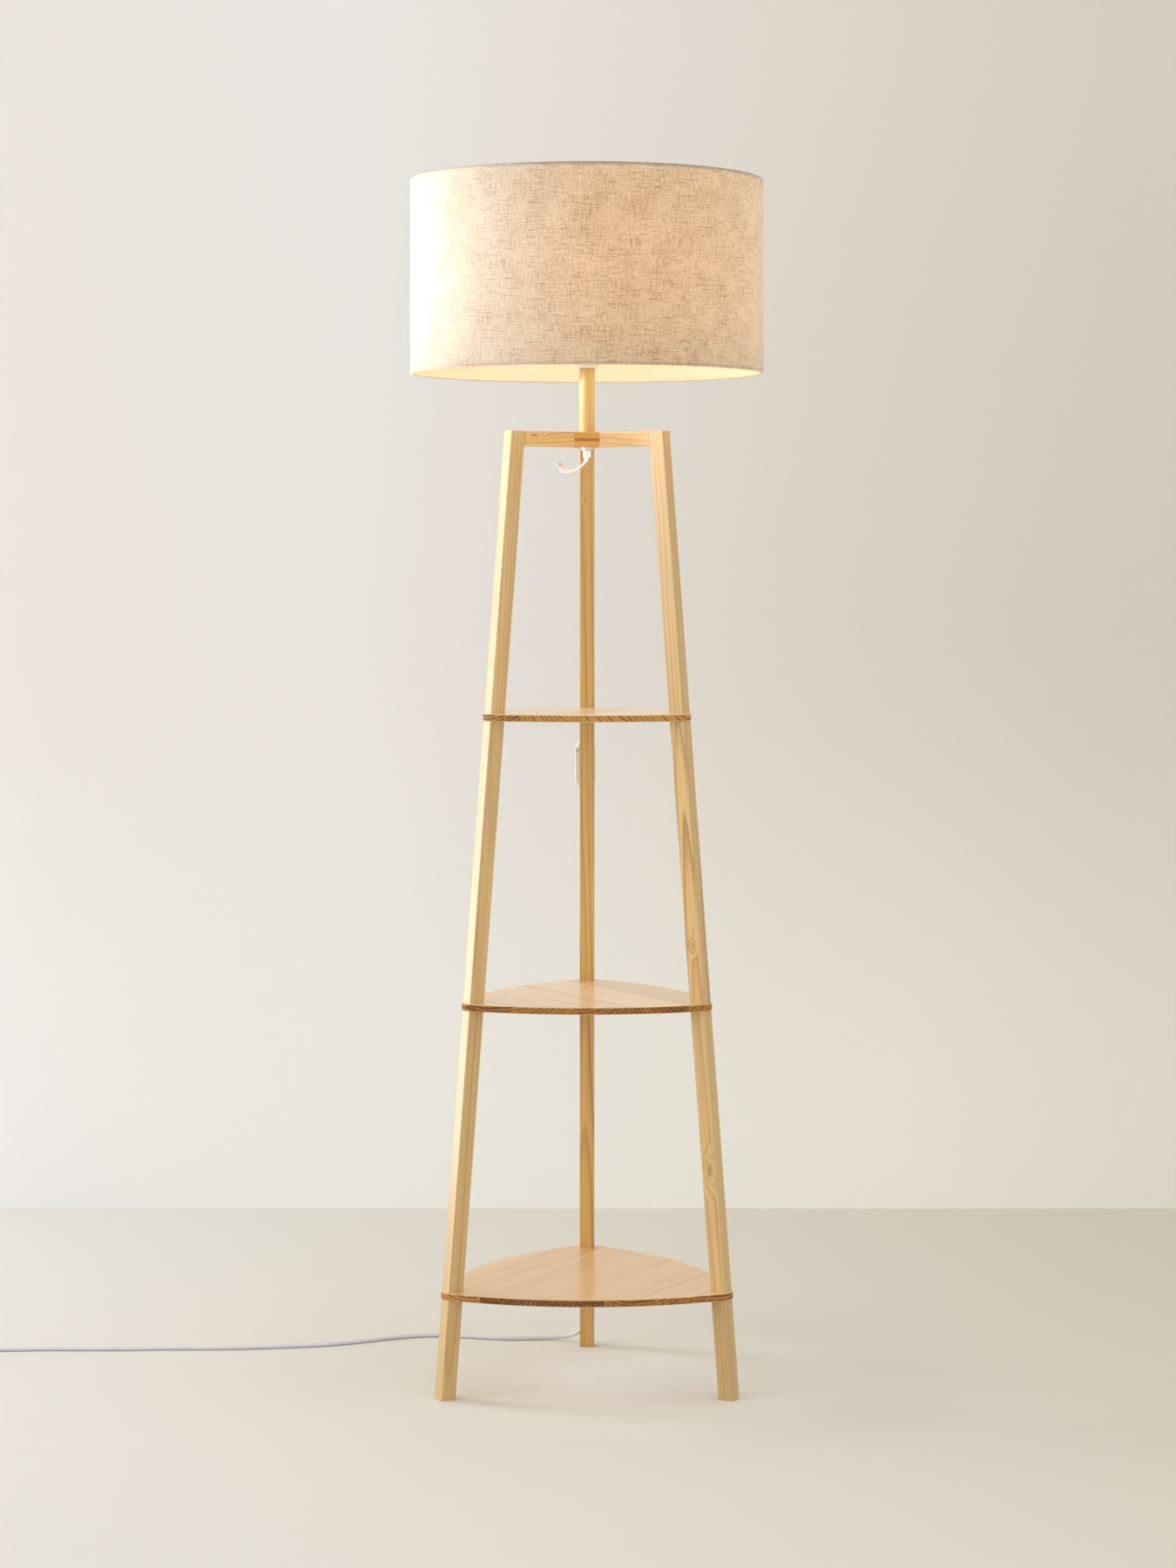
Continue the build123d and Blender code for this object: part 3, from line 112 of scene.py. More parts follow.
def noise(tree, vector, scale, detail=2.0, stretch=(1, 1, 1)):
    """Noise over a vector that is first stretched per axis, as a value about 0.5."""
    made = add(tree, "ShaderNodeTexNoise",
               {"Vector": vector_node(tree, "MULTIPLY", vector, stretch), "Scale": scale,
                "Detail": detail, "Roughness": 0.5})
    return made.outputs["Fac"]


def ramp(tree, value, *stops):
    """Grey levels or colours at places along a value."""
    made = add(tree, "ShaderNodeValToRGB", {"Fac": value})
    line = made.color_ramp.elements
    while len(line) < len(stops):
        line.new(0.5)
    for element, (place, level) in zip(line, stops):
        element.position = place
        element.color = level if isinstance(level, tuple) else (level, level, level, 1)
    return made.outputs["Color"]


def blend_colour(tree, factor, first, second, how="MIX"):
    """The first colour turning into the second, or multiplied by it."""
    made = add(tree, "ShaderNodeMix", data_type="RGBA", blend_type=how)
    made.clamp_factor = True
    for socket, value in zip((made.inputs[0], made.inputs[6], made.inputs[7]),
                             (factor, first, second)):
        if isinstance(value, bpy.types.NodeSocket):
            tree.links.new(value, socket)
        else:
            socket.default_value = value
    return made.outputs[2]


SOCKETS = {"vector": "NodeSocketVector", "colour": "NodeSocketColor",
           "number": "NodeSocketFloat"}


def effect(name, takes, gives):
    """A shader group with named inputs and outputs; returns the tree and its two ends."""
    tree = bpy.data.node_groups.new(name, "ShaderNodeTree")
    for label, kind in takes:
        tree.interface.new_socket(name=label, in_out="INPUT", socket_type=SOCKETS[kind])
    for label, kind in gives:
        tree.interface.new_socket(name=label, in_out="OUTPUT", socket_type=SOCKETS[kind])
    start = tree.nodes.new("NodeGroupInput")
    end = tree.nodes.new("NodeGroupOutput")
    return tree, start.outputs, end.inputs


timber, taken, given = effect(
    "timber grain",
    [("Vector", "vector"), ("Pale", "colour"), ("Dark", "colour"), ("Ring spacing", "number"),
     ("Ring strength", "number"), ("Pith", "vector"), ("Pith drift", "vector"),
     ("Warp", "number"), ("Knot", "vector"), ("Knot size", "number")],
    [("Color", "colour"), ("Roughness", "number"), ("Height", "number"), ("Depth", "number")],
)
# Growth rings lie round a pith that drifts beside the bar. They waver along it, and they
# bend round a knot, whose middle is dark.
slow = noise(timber, taken["Vector"], 1.0, 2.0, BENDS)
bend = math_node(timber, "MULTIPLY", math_node(timber, "SUBTRACT", slow, 0.5), taken["Warp"])
drift = scaled(timber, taken["Pith drift"], parts(timber, taken["Vector"])["Z"])
heart = vector_node(timber, "ADD", taken["Pith"], drift)
from_pith = vector_node(timber, "SUBTRACT", taken["Vector"], heart)
across_bar = vector_node(timber, "MULTIPLY", from_pith, (1, 1, 0))
ring_radius = vector_node(timber, "LENGTH", across_bar)
to_knot = vector_node(timber, "SUBTRACT", taken["Vector"], taken["Knot"])
squeezed = vector_node(timber, "MULTIPLY", to_knot, KNOT_SHAPE)
knot_reach = math_node(timber, "DIVIDE", vector_node(timber, "LENGTH", squeezed),
                       math_node(timber, "MAXIMUM", taken["Knot size"], NEXT_TO_NOTHING))
swell = ramp(timber, knot_reach, (0.0, 1.0), (0.25, 0.8), (0.6, 0.25), (1.0, 0.0))
core = ramp(timber, knot_reach, (0.0, 1.0), (0.12, 0.9), (0.2, 0.35), (0.34, 0.0))
count = math_node(timber, "DIVIDE", math_node(timber, "ADD", ring_radius, bend),
                  taken["Ring spacing"])
count = math_node(timber, "ADD", count, math_node(timber, "MULTIPLY", swell, KNOT_SWERVE))
late = ramp(timber, math_node(timber, "FRACT", count),
            (0.0, 0.0), (0.45, 0.16), (0.84, 1.0), (1.0, 0.0))
year = add(timber, "ShaderNodeTexWhiteNoise", {"W": math_node(timber, "FLOOR", count)},
           noise_dimensions="1D").outputs["Value"]

# Over the rings, whose strength differs from year to year, lie fibres, streaks and slow
# changes of tone.
fibre = noise(timber, taken["Vector"], 1.0, 3.0, FIBRES)
streak = noise(timber, taken["Vector"], 1.0, 2.0, STREAKS)
tone = noise(timber, taken["Vector"], 1.0, 1.0, TONES)
strength = math_node(timber, "MULTIPLY", taken["Ring strength"],
                     math_node(timber, "ADD", 0.35, math_node(timber, "MULTIPLY", year, 0.9)))
depth = math_node(timber, "ADD", math_node(timber, "MULTIPLY", late, strength),
                  math_node(timber, "MULTIPLY", core, 0.7))
for grain_part, middle, amount in ((streak, 0.47, 0.85), (fibre, 0.5, 0.40), (tone, 0.44, 0.55)):
    depth = math_node(timber, "ADD", depth,
                      math_node(timber, "MULTIPLY",
                                math_node(timber, "SUBTRACT", grain_part, middle), amount))
timber.links.new(blend_colour(timber, depth, taken["Pale"], taken["Dark"]), given["Color"])
timber.links.new(math_node(timber, "ADD", 0.42, math_node(timber, "MULTIPLY", fibre, 0.22)),
                 given["Roughness"])
timber.links.new(math_node(timber, "ADD", math_node(timber, "MULTIPLY", fibre, 0.6),
                           math_node(timber, "MULTIPLY", depth, -0.4)), given["Height"])
timber.links.new(depth, given["Depth"])


def empty_finish(name):
    """A material, its node tree and its Principled shader."""
    made = bpy.data.materials.new(name)
    made.use_nodes = True
    return made, made.node_tree, made.node_tree.nodes["Principled BSDF"]


def wire_up(tree, shader, links, relief=None, **fixed):
    """Feeds a Principled shader: sockets from links, plain values from fixed."""
    for socket, value in links.items():
        if socket == "Height":
            bump = add(tree, "ShaderNodeBump",
                       {"Height": value, "Strength": 0.6, "Distance": relief})
            tree.links.new(bump.outputs[0], shader.inputs["Normal"])
        else:
            tree.links.new(value, shader.inputs[socket])
    for socket, value in fixed.items():
        shader.inputs[socket.replace("_", " ")].default_value = value


def bar_wood(name, place, turn, seed, spacing=0.0031, strength=0.3, warp=0.006,
             pale=PINE_PALE, dark=PINE_DARK, pith=(0.045, 0.03), drift=(0.01, 0.006),
             middle=0.0, knot=(0, 0, 0), knot_size=0.0, coat=1.0):
    """Wood whose grain follows a bar's own length, from where the bar stands and leans.

    The pith lies at its given place beside the bar's middle and drifts along the bar.
    """
    made, tree, shader = empty_finish(name)
    where = add(tree, "ShaderNodeTexCoord").outputs["Object"]
    along = add(tree, "ShaderNodeMapping",
                {"Vector": where, "Location": place, "Rotation": turn}, vector_type="TEXTURE")
    start = 1.7 * seed
    moved = vector_node(tree, "ADD", along.outputs[0], (0.0, 0.0, start))
    grain = add(tree, "ShaderNodeGroup", {"Vector": moved}, node_tree=timber)
    grain.inputs["Pale"].default_value = pale
    grain.inputs["Dark"].default_value = dark
    grain.inputs["Ring spacing"].default_value = spacing
    grain.inputs["Ring strength"].default_value = strength
    grain.inputs["Pith"].default_value = [offset - change * (middle + start)
                                          for offset, change in zip(pith, drift)] + [0]
    grain.inputs["Pith drift"].default_value = (*drift, 0)
    grain.inputs["Warp"].default_value = warp
    grain.inputs["Knot"].default_value = (knot[0], knot[1], knot[2] + start)
    grain.inputs["Knot size"].default_value = knot_size
    wire_up(tree, shader,
            {"Base Color": grain.outputs["Color"], "Roughness": grain.outputs["Roughness"],
             "Height": grain.outputs["Height"]},
            relief=RELIEF, Specular_IOR_Level=0.3, Coat_Weight=coat, Coat_Roughness=0.22,
            Coat_IOR=1.6)
    return made


def dress(material, *names):
    """Gives CAD nodes or made pieces a material over every slot."""
    for name in names:
        piece = nodes.get(name) or bpy.data.objects[name]
        piece.data.materials.clear()
        piece.data.materials.append(material)


LEG_TURNS = {"left": math.radians(210), "right": math.radians(-30), "rear": math.radians(90)}
# Tone factors on single lengths. Partly these are each board's own tone, and partly painted light
# and shade that match each length to how brightly it is lit, such as the feet under the bottom
# shelf.
LEG_TONES_AND_PAINTED_LIGHT = {"leg_rear_foot": 0.97, "leg_left_foot": 0.93, "leg_right_foot": 0.88,
             "leg_left_lower": 0.93, "leg_left_upper": 1.05, "leg_right_middle": 1.05}
LEG_COLOURS = {"left": (PINE_PALE, PINE_DARK), "right": (PINE_PALE, PINE_DARK),
               "rear": ((0.70, 0.430, 0.122, 1), (0.41, 0.20, 0.036, 1))}
# The pith's place beside the bar, its drift to the metre, the rings' spacing and strength.
LEG_FIGURES = {
    "leg_left_foot": ((0.004, -0.016), (0.004, 0.020), 0.0034, 0.40),
    "leg_left_lower": ((0.050, -0.040), (0.006, 0.004), 0.0036, 0.45),
    "leg_left_middle": ((-0.006, -0.060), (0.010, 0.010), 0.0030, 0.40),
    "leg_left_upper": ((0.030, -0.045), (0.006, -0.008), 0.0026, 0.50),
    "leg_right_foot": ((0.026, 0.012), (0.010, -0.012), 0.0036, 0.70),
    "leg_right_lower": ((-0.012, 0.030), (0.006, 0.012), 0.0040, 0.55),
    "leg_right_middle": ((0.002, 0.009), (0.0, 0.022), 0.0030, 0.85),
    "leg_right_upper": ((0.034, 0.030), (0.008, -0.006), 0.0038, 0.48),
    "leg_rear_foot": ((0.030, 0.020), (0.010, 0.010), 0.0036, 0.45),
    "leg_rear_lower": ((0.010, 0.002), (0.020, 0.002), 0.0034, 0.70),
    "leg_rear_middle": ((0.020, 0.024), (0.006, 0.010), 0.0048, 0.60),
    "leg_rear_upper": ((0.026, 0.018), (0.004, 0.006), 0.0044, 0.55),
}
# Where a length has a knot: its place across and along the leg, and its size.
LEG_KNOTS = {
    "leg_right_lower": ((0.001, -0.009, 0.285), 0.016),
    "leg_right_middle": ((0.0, -0.010, 0.565), 0.007),
    "leg_rear_middle": ((-0.010, 0.002, 0.50), 0.004),
    "leg_rear_upper": ((-0.010, 0.003, 1.13), 0.004),
}
NO_KNOT = ((0, 0, 0), 0.0)
LENGTH_MIDDLES = {"foot": 0.09, "lower": 0.32, "middle": 0.62, "upper": 1.03}
seed = 1
for side, turn in LEG_TURNS.items():
    foot = (LEG_FOOT_RADIUS * math.cos(turn), LEG_FOOT_RADIUS * math.sin(turn), 0)
    for length, middle in LENGTH_MIDDLES.items():
        name = f"leg_{side}_{length}"
        pith, drift, spacing, strength = LEG_FIGURES[name]
        knot, knot_size = LEG_KNOTS.get(name, NO_KNOT)
        pale, dark = [tuple(part * LEG_TONES_AND_PAINTED_LIGHT.get(name, 1.0) for part in colour[:3]) + (1,)
                      for colour in LEG_COLOURS[side]]
        dress(bar_wood(name + " pine", foot, (0, -LEG_LEAN, turn), seed, spacing, strength,
                       0.004 + 0.002 * (seed % 3), pale, dark, pith, drift, middle, knot,
                       knot_size), name)
        seed += 1


# ---- Shelves ----
# Boards glued up edge to edge from strips, cut to three curved sides and lacquered.
# The cut ends of the strips drink the lacquer and go dark round the edge.
BOARD_DARK = (0.54, 0.30, 0.13, 1)
BOARD_END_DARK = (0.15, 0.05, 0.010, 1)
BOARD_ARRIS_HIGHLIGHT = (0.90, 0.66, 0.38, 1)   # painted highlight on the eased edges, where the arris catches the light
PORES = (420, 420, 900)            # cycles to the metre along, across and through a board
STRIP_SHIFT = 9.0                  # a strip's grain is moved along by up to this

strips, taken, given = effect(
    "glued strips",
    [("Vector", "vector"), ("Strip width", "number"), ("Pale", "colour"), ("Dark", "colour"),
     ("End", "colour"), ("End dark", "colour"), ("End mask", "number"), ("Seed", "number")],
    [("Color", "colour"), ("Roughness", "number"), ("Height", "number")],
)
# Each strip takes its own stretch of grain, its own pith and its own shade.
part = parts(strips, taken["Vector"])
across = math_node(strips, "DIVIDE", part["Y"], taken["Strip width"])
across = math_node(strips, "ADD", across, taken["Seed"])
strip = math_node(strips, "FLOOR", across)
inside = math_node(strips, "FRACT", across)
chance = add(strips, "ShaderNodeTexWhiteNoise", {"W": strip}, noise_dimensions="1D")
lot = add(strips, "ShaderNodeSeparateColor", {0: chance.outputs["Color"]}).outputs
centred = math_node(strips, "MULTIPLY", math_node(strips, "SUBTRACT", inside, 0.5),
                    taken["Strip width"])
aside = math_node(strips, "ADD", part["Z"], math_node(strips, "MULTIPLY", lot[0], 0.3))
lengthwise = math_node(strips, "ADD", part["X"],
                       math_node(strips, "MULTIPLY", lot[1], STRIP_SHIFT))
own_grain = add(strips, "ShaderNodeCombineXYZ", {"X": centred, "Y": aside, "Z": lengthwise})
heart = add(strips, "ShaderNodeCombineXYZ",
            {"X": math_node(strips, "MULTIPLY", math_node(strips, "SUBTRACT", lot[2], 0.5), 0.16),
             "Y": math_node(strips, "ADD", math_node(strips, "MULTIPLY", lot[0], 0.3), 0.05)})
grain = add(strips, "ShaderNodeGroup", node_tree=timber)
for socket, value in (("Vector", own_grain.outputs[0]), ("Pith", heart.outputs[0]),
                      ("Pale", taken["Pale"]), ("Dark", taken["Dark"])):
    strips.links.new(value, grain.inputs[socket])
grain.inputs["Ring spacing"].default_value = 0.0045
grain.inputs["Ring strength"].default_value = 0.55
grain.inputs["Warp"].default_value = 0.012
shade = math_node(strips, "MULTIPLY", math_node(strips, "SUBTRACT", lot[1], 0.5), 0.62)
toned = blend_colour(strips, math_node(strips, "ADD", 0.15, shade), grain.outputs["Color"],
                     taken["Dark"])
glue = ramp(strips, math_node(strips, "ABSOLUTE", math_node(strips, "SUBTRACT", inside, 0.5)),
            (0.0, 0.0), (0.482, 0.0), (0.494, 0.7), (0.5, 0.9))
toned = blend_colour(strips, math_node(strips, "MULTIPLY", glue, 0.35), toned, taken["Dark"])
pores = noise(strips, taken["Vector"], 1.0, 3.0, PORES)
banded = math_node(strips, "ADD", math_node(strips, "MULTIPLY", grain.outputs["Depth"], 1.8),
                   math_node(strips, "SUBTRACT", math_node(strips, "MULTIPLY", lot[2], 0.9), 0.3))
ends = blend_colour(strips, banded, taken["End"], taken["End dark"])
ends = blend_colour(strips, math_node(strips, "MULTIPLY", pores, 0.3), ends, taken["End dark"])
strips.links.new(blend_colour(strips, taken["End mask"], toned, ends), given["Color"])
strips.links.new(grain.outputs["Roughness"], given["Roughness"])
strips.links.new(math_node(strips, "SUBTRACT", grain.outputs["Height"], glue), given["Height"])


def board_wood(name, board, turn, seed, width, pale, end):
    """Strips that run at a turn in plan, with a darker end grain round the edge."""
    made, tree, shader = empty_finish(name)
    where = add(tree, "ShaderNodeTexCoord").outputs
    low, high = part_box(board)
    along = add(tree, "ShaderNodeMapping",
                {"Vector": where["Object"], "Location": (0, 0, (low[2] + high[2]) / 2),
                 "Rotation": (0, 0, turn)}, vector_type="TEXTURE")
    level = math_node(tree, "ABSOLUTE", parts(tree, where["Normal"])["Z"])
    edge = ramp(tree, level, (0.0, 1.0), (0.55, 1.0), (0.9, 0.0), (1.0, 0.0))
    arris = ramp(tree, level, (0.0, 0.0), (0.3, 0.0), (0.6, 1.0), (0.85, 1.0), (0.98, 0.0))
    glued = add(tree, "ShaderNodeGroup", {"Vector": along.outputs[0], "End mask": edge},
                node_tree=strips)
    glued.inputs["Strip width"].default_value = width
    glued.inputs["Pale"].default_value = pale
    glued.inputs["Dark"].default_value = BOARD_DARK
    glued.inputs["End"].default_value = end
    glued.inputs["End dark"].default_value = BOARD_END_DARK
    glued.inputs["Seed"].default_value = seed
    # The eased arris is painted paler: a painted highlight where the edge catches the light.
    arris_highlighted = blend_colour(tree, math_node(tree, "MULTIPLY", arris, 0.45), glued.outputs["Color"],
                          BOARD_ARRIS_HIGHLIGHT)
    wire_up(tree, shader,
            {"Base Color": arris_highlighted, "Roughness": glued.outputs["Roughness"],
             "Height": glued.outputs["Height"],
             "Coat Weight": math_node(tree, "MULTIPLY",
                                      math_node(tree, "SUBTRACT", 1.0, edge), 0.9)},
            relief=RELIEF, Specular_IOR_Level=0.3, Coat_Roughness=0.22)
    return made


# The boards grow paler from the bottom shelf to the top. Partly this is each board's own tone,
# and partly painted sheen that stands in for the lacquer's reflection, seen at a grazing angle on
# the upper boards.
for board, turn, first_strip, width, pale, end in (
        ("shelf_bottom", 60, 3.3, 0.072, (0.85, 0.535, 0.235, 1), (0.57, 0.28, 0.070, 1)),
        ("shelf_middle", -60, 8.15, 0.066, (0.95, 0.69, 0.40, 1), (0.48, 0.22, 0.040, 1)),
        ("shelf_top", 60, 13.6, 0.060, (1.0, 0.84, 0.57, 1), (0.60, 0.31, 0.078, 1))):
    dress(board_wood(board + " strips", board, math.radians(turn), first_strip, width, pale, end),
          board)


# ---- Hub, arms, stem and dowels ----
# Short bars of the same pine meet a redder block under a turned stem; beech dowels
# cross the joints out of sight.
HUB_MIDDLE = (0, 0, 1.2)
LYING = math.radians(90)           # turns a bar's length from upright to level
ARM_PALES = {"left": (0.85, 0.56, 0.20, 1), "right": (0.75, 0.47, 0.17, 1),
             "rear": (0.78, 0.49, 0.17, 1)}
ARM_KNOTS = {"left": (-0.004, 0.009, 0.082), "right": (0.004, 0.02, 0.06),
             "rear": (0, 0.01, 0.05)}
for seed, (side, turn) in enumerate(LEG_TURNS.items(), start=20):
    dress(bar_wood(f"arm {side} pine", HUB_MIDDLE, (0, LYING, turn), seed,
                   spacing=0.0050, strength=0.55, pith=(0.045, 0.020), drift=(0.05, 0.02),
                   warp=0.010, pale=ARM_PALES[side], middle=0.05, knot=ARM_KNOTS[side],
                   knot_size=0.010, coat=0.5), f"arm_{side}")
dress(bar_wood("hub wood", HUB_MIDDLE, (0, LYING, 0), seed=31, spacing=0.0125, strength=0.62,
               pale=(0.755, 0.385, 0.062, 1), dark=(0.25, 0.09, 0.012, 1),
               pith=(-0.045, -0.01), coat=0.5), "hub_block")
dress(bar_wood("stem pine", HUB_MIDDLE, (0, 0, 0), seed=37, spacing=0.0046, strength=0.30,
               pale=(0.72, 0.525, 0.213, 1), pith=(0.026, 0.02), coat=0.0), "stem_tube")
dress(bar_wood("beech dowel", HUB_MIDDLE, (0, LYING, 0), seed=41, spacing=0.002, strength=0.2,
               pale=(0.60, 0.41, 0.24, 1), dark=(0.42, 0.25, 0.12, 1)), "hub_dowels")


# ---- Studs, nuts, bolt and screws ----
# Studs, bolt, screws and nails of zinc-plated steel, and insert nuts, nipple and contacts
# of brass. Nearly all are out of sight inside the wood, the lampholder or the switch.
mottle, taken, given = effect(
    "fine mottle",
    [("Vector", "vector"), ("Colour", "colour"), ("Second colour", "colour"), ("Scale", "number"),
     ("Roughness", "number"), ("Roughness spread", "number")],
    [("Color", "colour"), ("Roughness", "number"), ("Height", "number")],
)
grown = scaled(mottle, taken["Vector"], taken["Scale"])
cloud = noise(mottle, grown, 0.12, 3.0)
speck = noise(mottle, grown, 1.0, 2.0)
clouded = ramp(mottle, cloud, (0.0, 0.0), (0.35, 0.0), (0.7, 1.0), (1.0, 1.0))
mottle.links.new(blend_colour(mottle, clouded, taken["Colour"], taken["Second colour"]),
                 given["Color"])
mottle.links.new(math_node(mottle, "ADD", taken["Roughness"],
                           math_node(mottle, "MULTIPLY", taken["Roughness spread"],
                                     math_node(mottle, "SUBTRACT", speck, 0.5))),
                 given["Roughness"])
mottle.links.new(speck, given["Height"])


def moulded(name, colour, second, scale=900.0, rough=0.35, spread=0.12, relief=0.00002,
            **fixed):
    """Plastic, metal or porcelain with slight clouding and a fine surface."""
    made, tree, shader = empty_finish(name)
    where = add(tree, "ShaderNodeTexCoord").outputs["Object"]
    mix = add(tree, "ShaderNodeGroup", {"Vector": where}, node_tree=mottle)
    mix.inputs["Colour"].default_value = colour
    mix.inputs["Second colour"].default_value = second
    mix.inputs["Scale"].default_value = scale
    mix.inputs["Roughness"].default_value = rough
    mix.inputs["Roughness spread"].default_value = spread
    wire_up(tree, shader,
            {"Base Color": mix.outputs["Color"], "Roughness": mix.outputs["Roughness"],
             "Height": mix.outputs["Height"]}, relief=relief, **fixed)
    return made


zinc = moulded("zinc plate", (0.62, 0.62, 0.60, 1), (0.52, 0.53, 0.54, 1), rough=0.34,
               Metallic=1.0)
brass = moulded("brass", (0.72, 0.52, 0.22, 1), (0.62, 0.43, 0.16, 1), rough=0.32, Metallic=1.0)
dress(zinc, "leg_studs", "stem_bolt", "clip_nails", "switch_screws")
dress(brass, "leg_insert_nuts", "stem_insert_nut", "stem_nipple", "holder_contact",
      "switch_contacts")


# ---- Hook ----
# A polished, chromed casting. Its collar is closed over the head of the hub's bolt, so it
# turns, and a round flange on the bolt covers the hole under the hub.
# Its near-white colour under a low metallic share is painted reflection: it stands in for the
# chrome mirroring the pale room.
dress(moulded("polished chrome", (0.95, 0.93, 0.93, 1), (0.90, 0.88, 0.88, 1), rough=0.14,
              spread=0.05, relief=0.00001, Metallic=0.3), "hook", "hook_flange")


# ---- Lampholder ----
# White moulded cap, skirt and ring nut round a porcelain disc and a thin metal shell.
# The cap screws on the stem's nipple, the skirt screws into the cap, and the ring nut
# holds the shade down on the skirt.
white_plastic = moulded("white holder plastic", (0.84, 0.83, 0.80, 1), (0.80, 0.79, 0.75, 1),
                        rough=0.30)
dress(white_plastic, "holder_cap", "holder_body", "shade_ring_nut")
dress(moulded("porcelain", (0.84, 0.83, 0.79, 1), (0.79, 0.78, 0.74, 1), scale=400, rough=0.15,
              Coat_Weight=0.6), "holder_insert")
aluminium = moulded("rolled aluminium", (0.80, 0.80, 0.80, 1), (0.72, 0.72, 0.73, 1), rough=0.28,
                    Metallic=1.0)
dress(aluminium, "holder_shell", "bulb_cap")


# ---- Bulb ----
# A frosted dome on a white plastic housing, on an ordinary screw cap with a glass
# insulator and a tinned contact. It is lit, so the dome glows warm.
dress(moulded("tinned contact", (0.60, 0.60, 0.60, 1), (0.50, 0.50, 0.50, 1), Metallic=1.0),
      "bulb_contact")
dress(moulded("black glass", (0.015, 0.015, 0.018, 1), (0.03, 0.03, 0.035, 1), rough=0.1),
      "bulb_insulator")
dress(moulded("bulb housing plastic", (0.86, 0.85, 0.83, 1), (0.82, 0.81, 0.78, 1), rough=0.4),
      "bulb_housing")
dress(moulded("frosted dome", (0.95, 0.90, 0.80, 1), (0.93, 0.87, 0.76, 1), rough=0.6,
              Emission_Color=(1.0, 0.80, 0.52, 1), Emission_Strength=6.0), "bulb_diffuser")


# ---- Shade ----
# One strip of slubbed linen goes round on a translucent liner, laps over itself at the
# back and rolls in over a wire ring at each rim. Three spokes carry the lower ring.
SHADE_RADIUS = 0.225
SHADE_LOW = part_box("shade_fabric")[0][2]
SHADE_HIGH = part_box("shade_fabric")[1][2]
CLOTH = 0.0008                     # thickness of the linen
HEM_RADIUS = 0.0023                # outside of its roll over the wire
SEAM_LAP = 0.012
CUT_LENGTH = 2 * math.pi * (SHADE_RADIUS - CLOTH / 2) + SEAM_LAP
HEM_SHADE_RADIUS = SHADE_RADIUS - 0.0030    # where the rims' painted shade ends over the wire
HEM_BLUR = 0.0004                  # to either side of that
LAP_BLUR = 0.0005                  # to either side of the lap's edge
LAP_RISE = 1.06                    # cloth thicknesses that the lap's outer end stands out
LAP_SLOPE = 1.9                    # laps from that end to where the cloth lies on the rings
YARN_PITCH = 0.0011
YARN = (0.582, 0.520, 0.420, 1)
# a plain yarn colour painted over the flecks on the daylit left side: painted light
YARN_PAINTED_DAYLIT = (0.54, 0.482, 0.385, 1)
SLUB = (0.33, 0.225, 0.13, 1)
HEM_PAINTED_SHADE = (0.30, 0.185, 0.095, 1)
GLOW = (1.0, 0.42, 0.07, 1)        # painted glow: the bulb's light through the linen
HEM_GLOW = (1.0, 0.66, 0.30, 1)    # painted glow on the hem's inner side, which faces the bulb
# Thick yarns, fine to coarse, once for each way they run: cycles to the metre round and
# up the shade, where a yarn begins and is full along the noise, and how dark it is.
THICK_YARNS = (
    ((1400, 230, 1), 0.42, 0.68, 0.36), ((230, 1400, 1), 0.42, 0.68, 0.36),
    ((820, 74, 1), 0.49, 0.68, 0.46), ((70, 820, 1), 0.49, 0.68, 0.46),
    ((460, 36, 1), 0.54, 0.70, 0.34), ((32, 460, 1), 0.53, 0.69, 0.38),
)


def map_range(tree, value, start, end, first=0.0, last=1.0, smooth=False):
    """A value's way from start to end, as first to last and no further."""
    return add(tree, "ShaderNodeMapRange",
               {"Value": value, "From Min": start, "From Max": end, "To Min": first,
                "To Max": last},
               interpolation_type="SMOOTHSTEP" if smooth else "LINEAR").outputs[0]


linen, taken, given = effect(
    "slubbed linen",
    [("Around", "number"), ("Up", "number"), ("Yarn", "colour"), ("Slub", "colour")],
    [("Color", "colour"), ("Height", "number"), ("Open", "number")],
)
spread = add(linen, "ShaderNodeCombineXYZ", {"X": taken["Around"], "Y": taken["Up"]}).outputs[0]
dark_yarn = 0.0
for stretch, begins, full, weight in THICK_YARNS:
    thick = ramp(linen, noise(linen, spread, 1.0, 2.0, stretch),
                 (0.0, 0.0), (begins, 0.0), (full, 1.0), (1.0, 1.0))
    dark_yarn = math_node(linen, "ADD", dark_yarn, math_node(linen, "MULTIPLY", thick, weight))
cluster = ramp(linen, noise(linen, spread, 1.0, 3.0, (34, 34, 1)), (0.0, 0.55), (0.35, 0.62),
               (0.65, 1.0), (1.0, 1.0))
flecks = math_node(linen, "MULTIPLY", dark_yarn, cluster)
weave = 2 * math.pi / YARN_PITCH
over = math_node(linen, "SINE", math_node(linen, "MULTIPLY", taken["Around"], weave))
under = math_node(linen, "SINE", math_node(linen, "MULTIPLY", taken["Up"], weave))
cross = math_node(linen, "MULTIPLY", over, under)
fuzz = noise(linen, spread, 1.0, 2.0, (900, 900, 1))
patch = noise(linen, spread, 1.0, 2.0, (22, 22, 1))
uneven = math_node(linen, "ADD", math_node(linen, "SUBTRACT", fuzz, 0.5),
                   math_node(linen, "MULTIPLY", math_node(linen, "SUBTRACT", patch, 0.5), 0.5))
soft = math_node(linen, "ADD", flecks, uneven)
linen.links.new(blend_colour(linen, soft, taken["Yarn"], taken["Slub"]), given["Color"])
linen.links.new(math_node(linen, "ADD", math_node(linen, "MULTIPLY", cross, 0.35),
                          math_node(linen, "ADD", fuzz, flecks)), given["Height"])
linen.links.new(math_node(linen, "SUBTRACT", 1.0, math_node(linen, "MULTIPLY", soft, 0.45)),
                given["Open"])

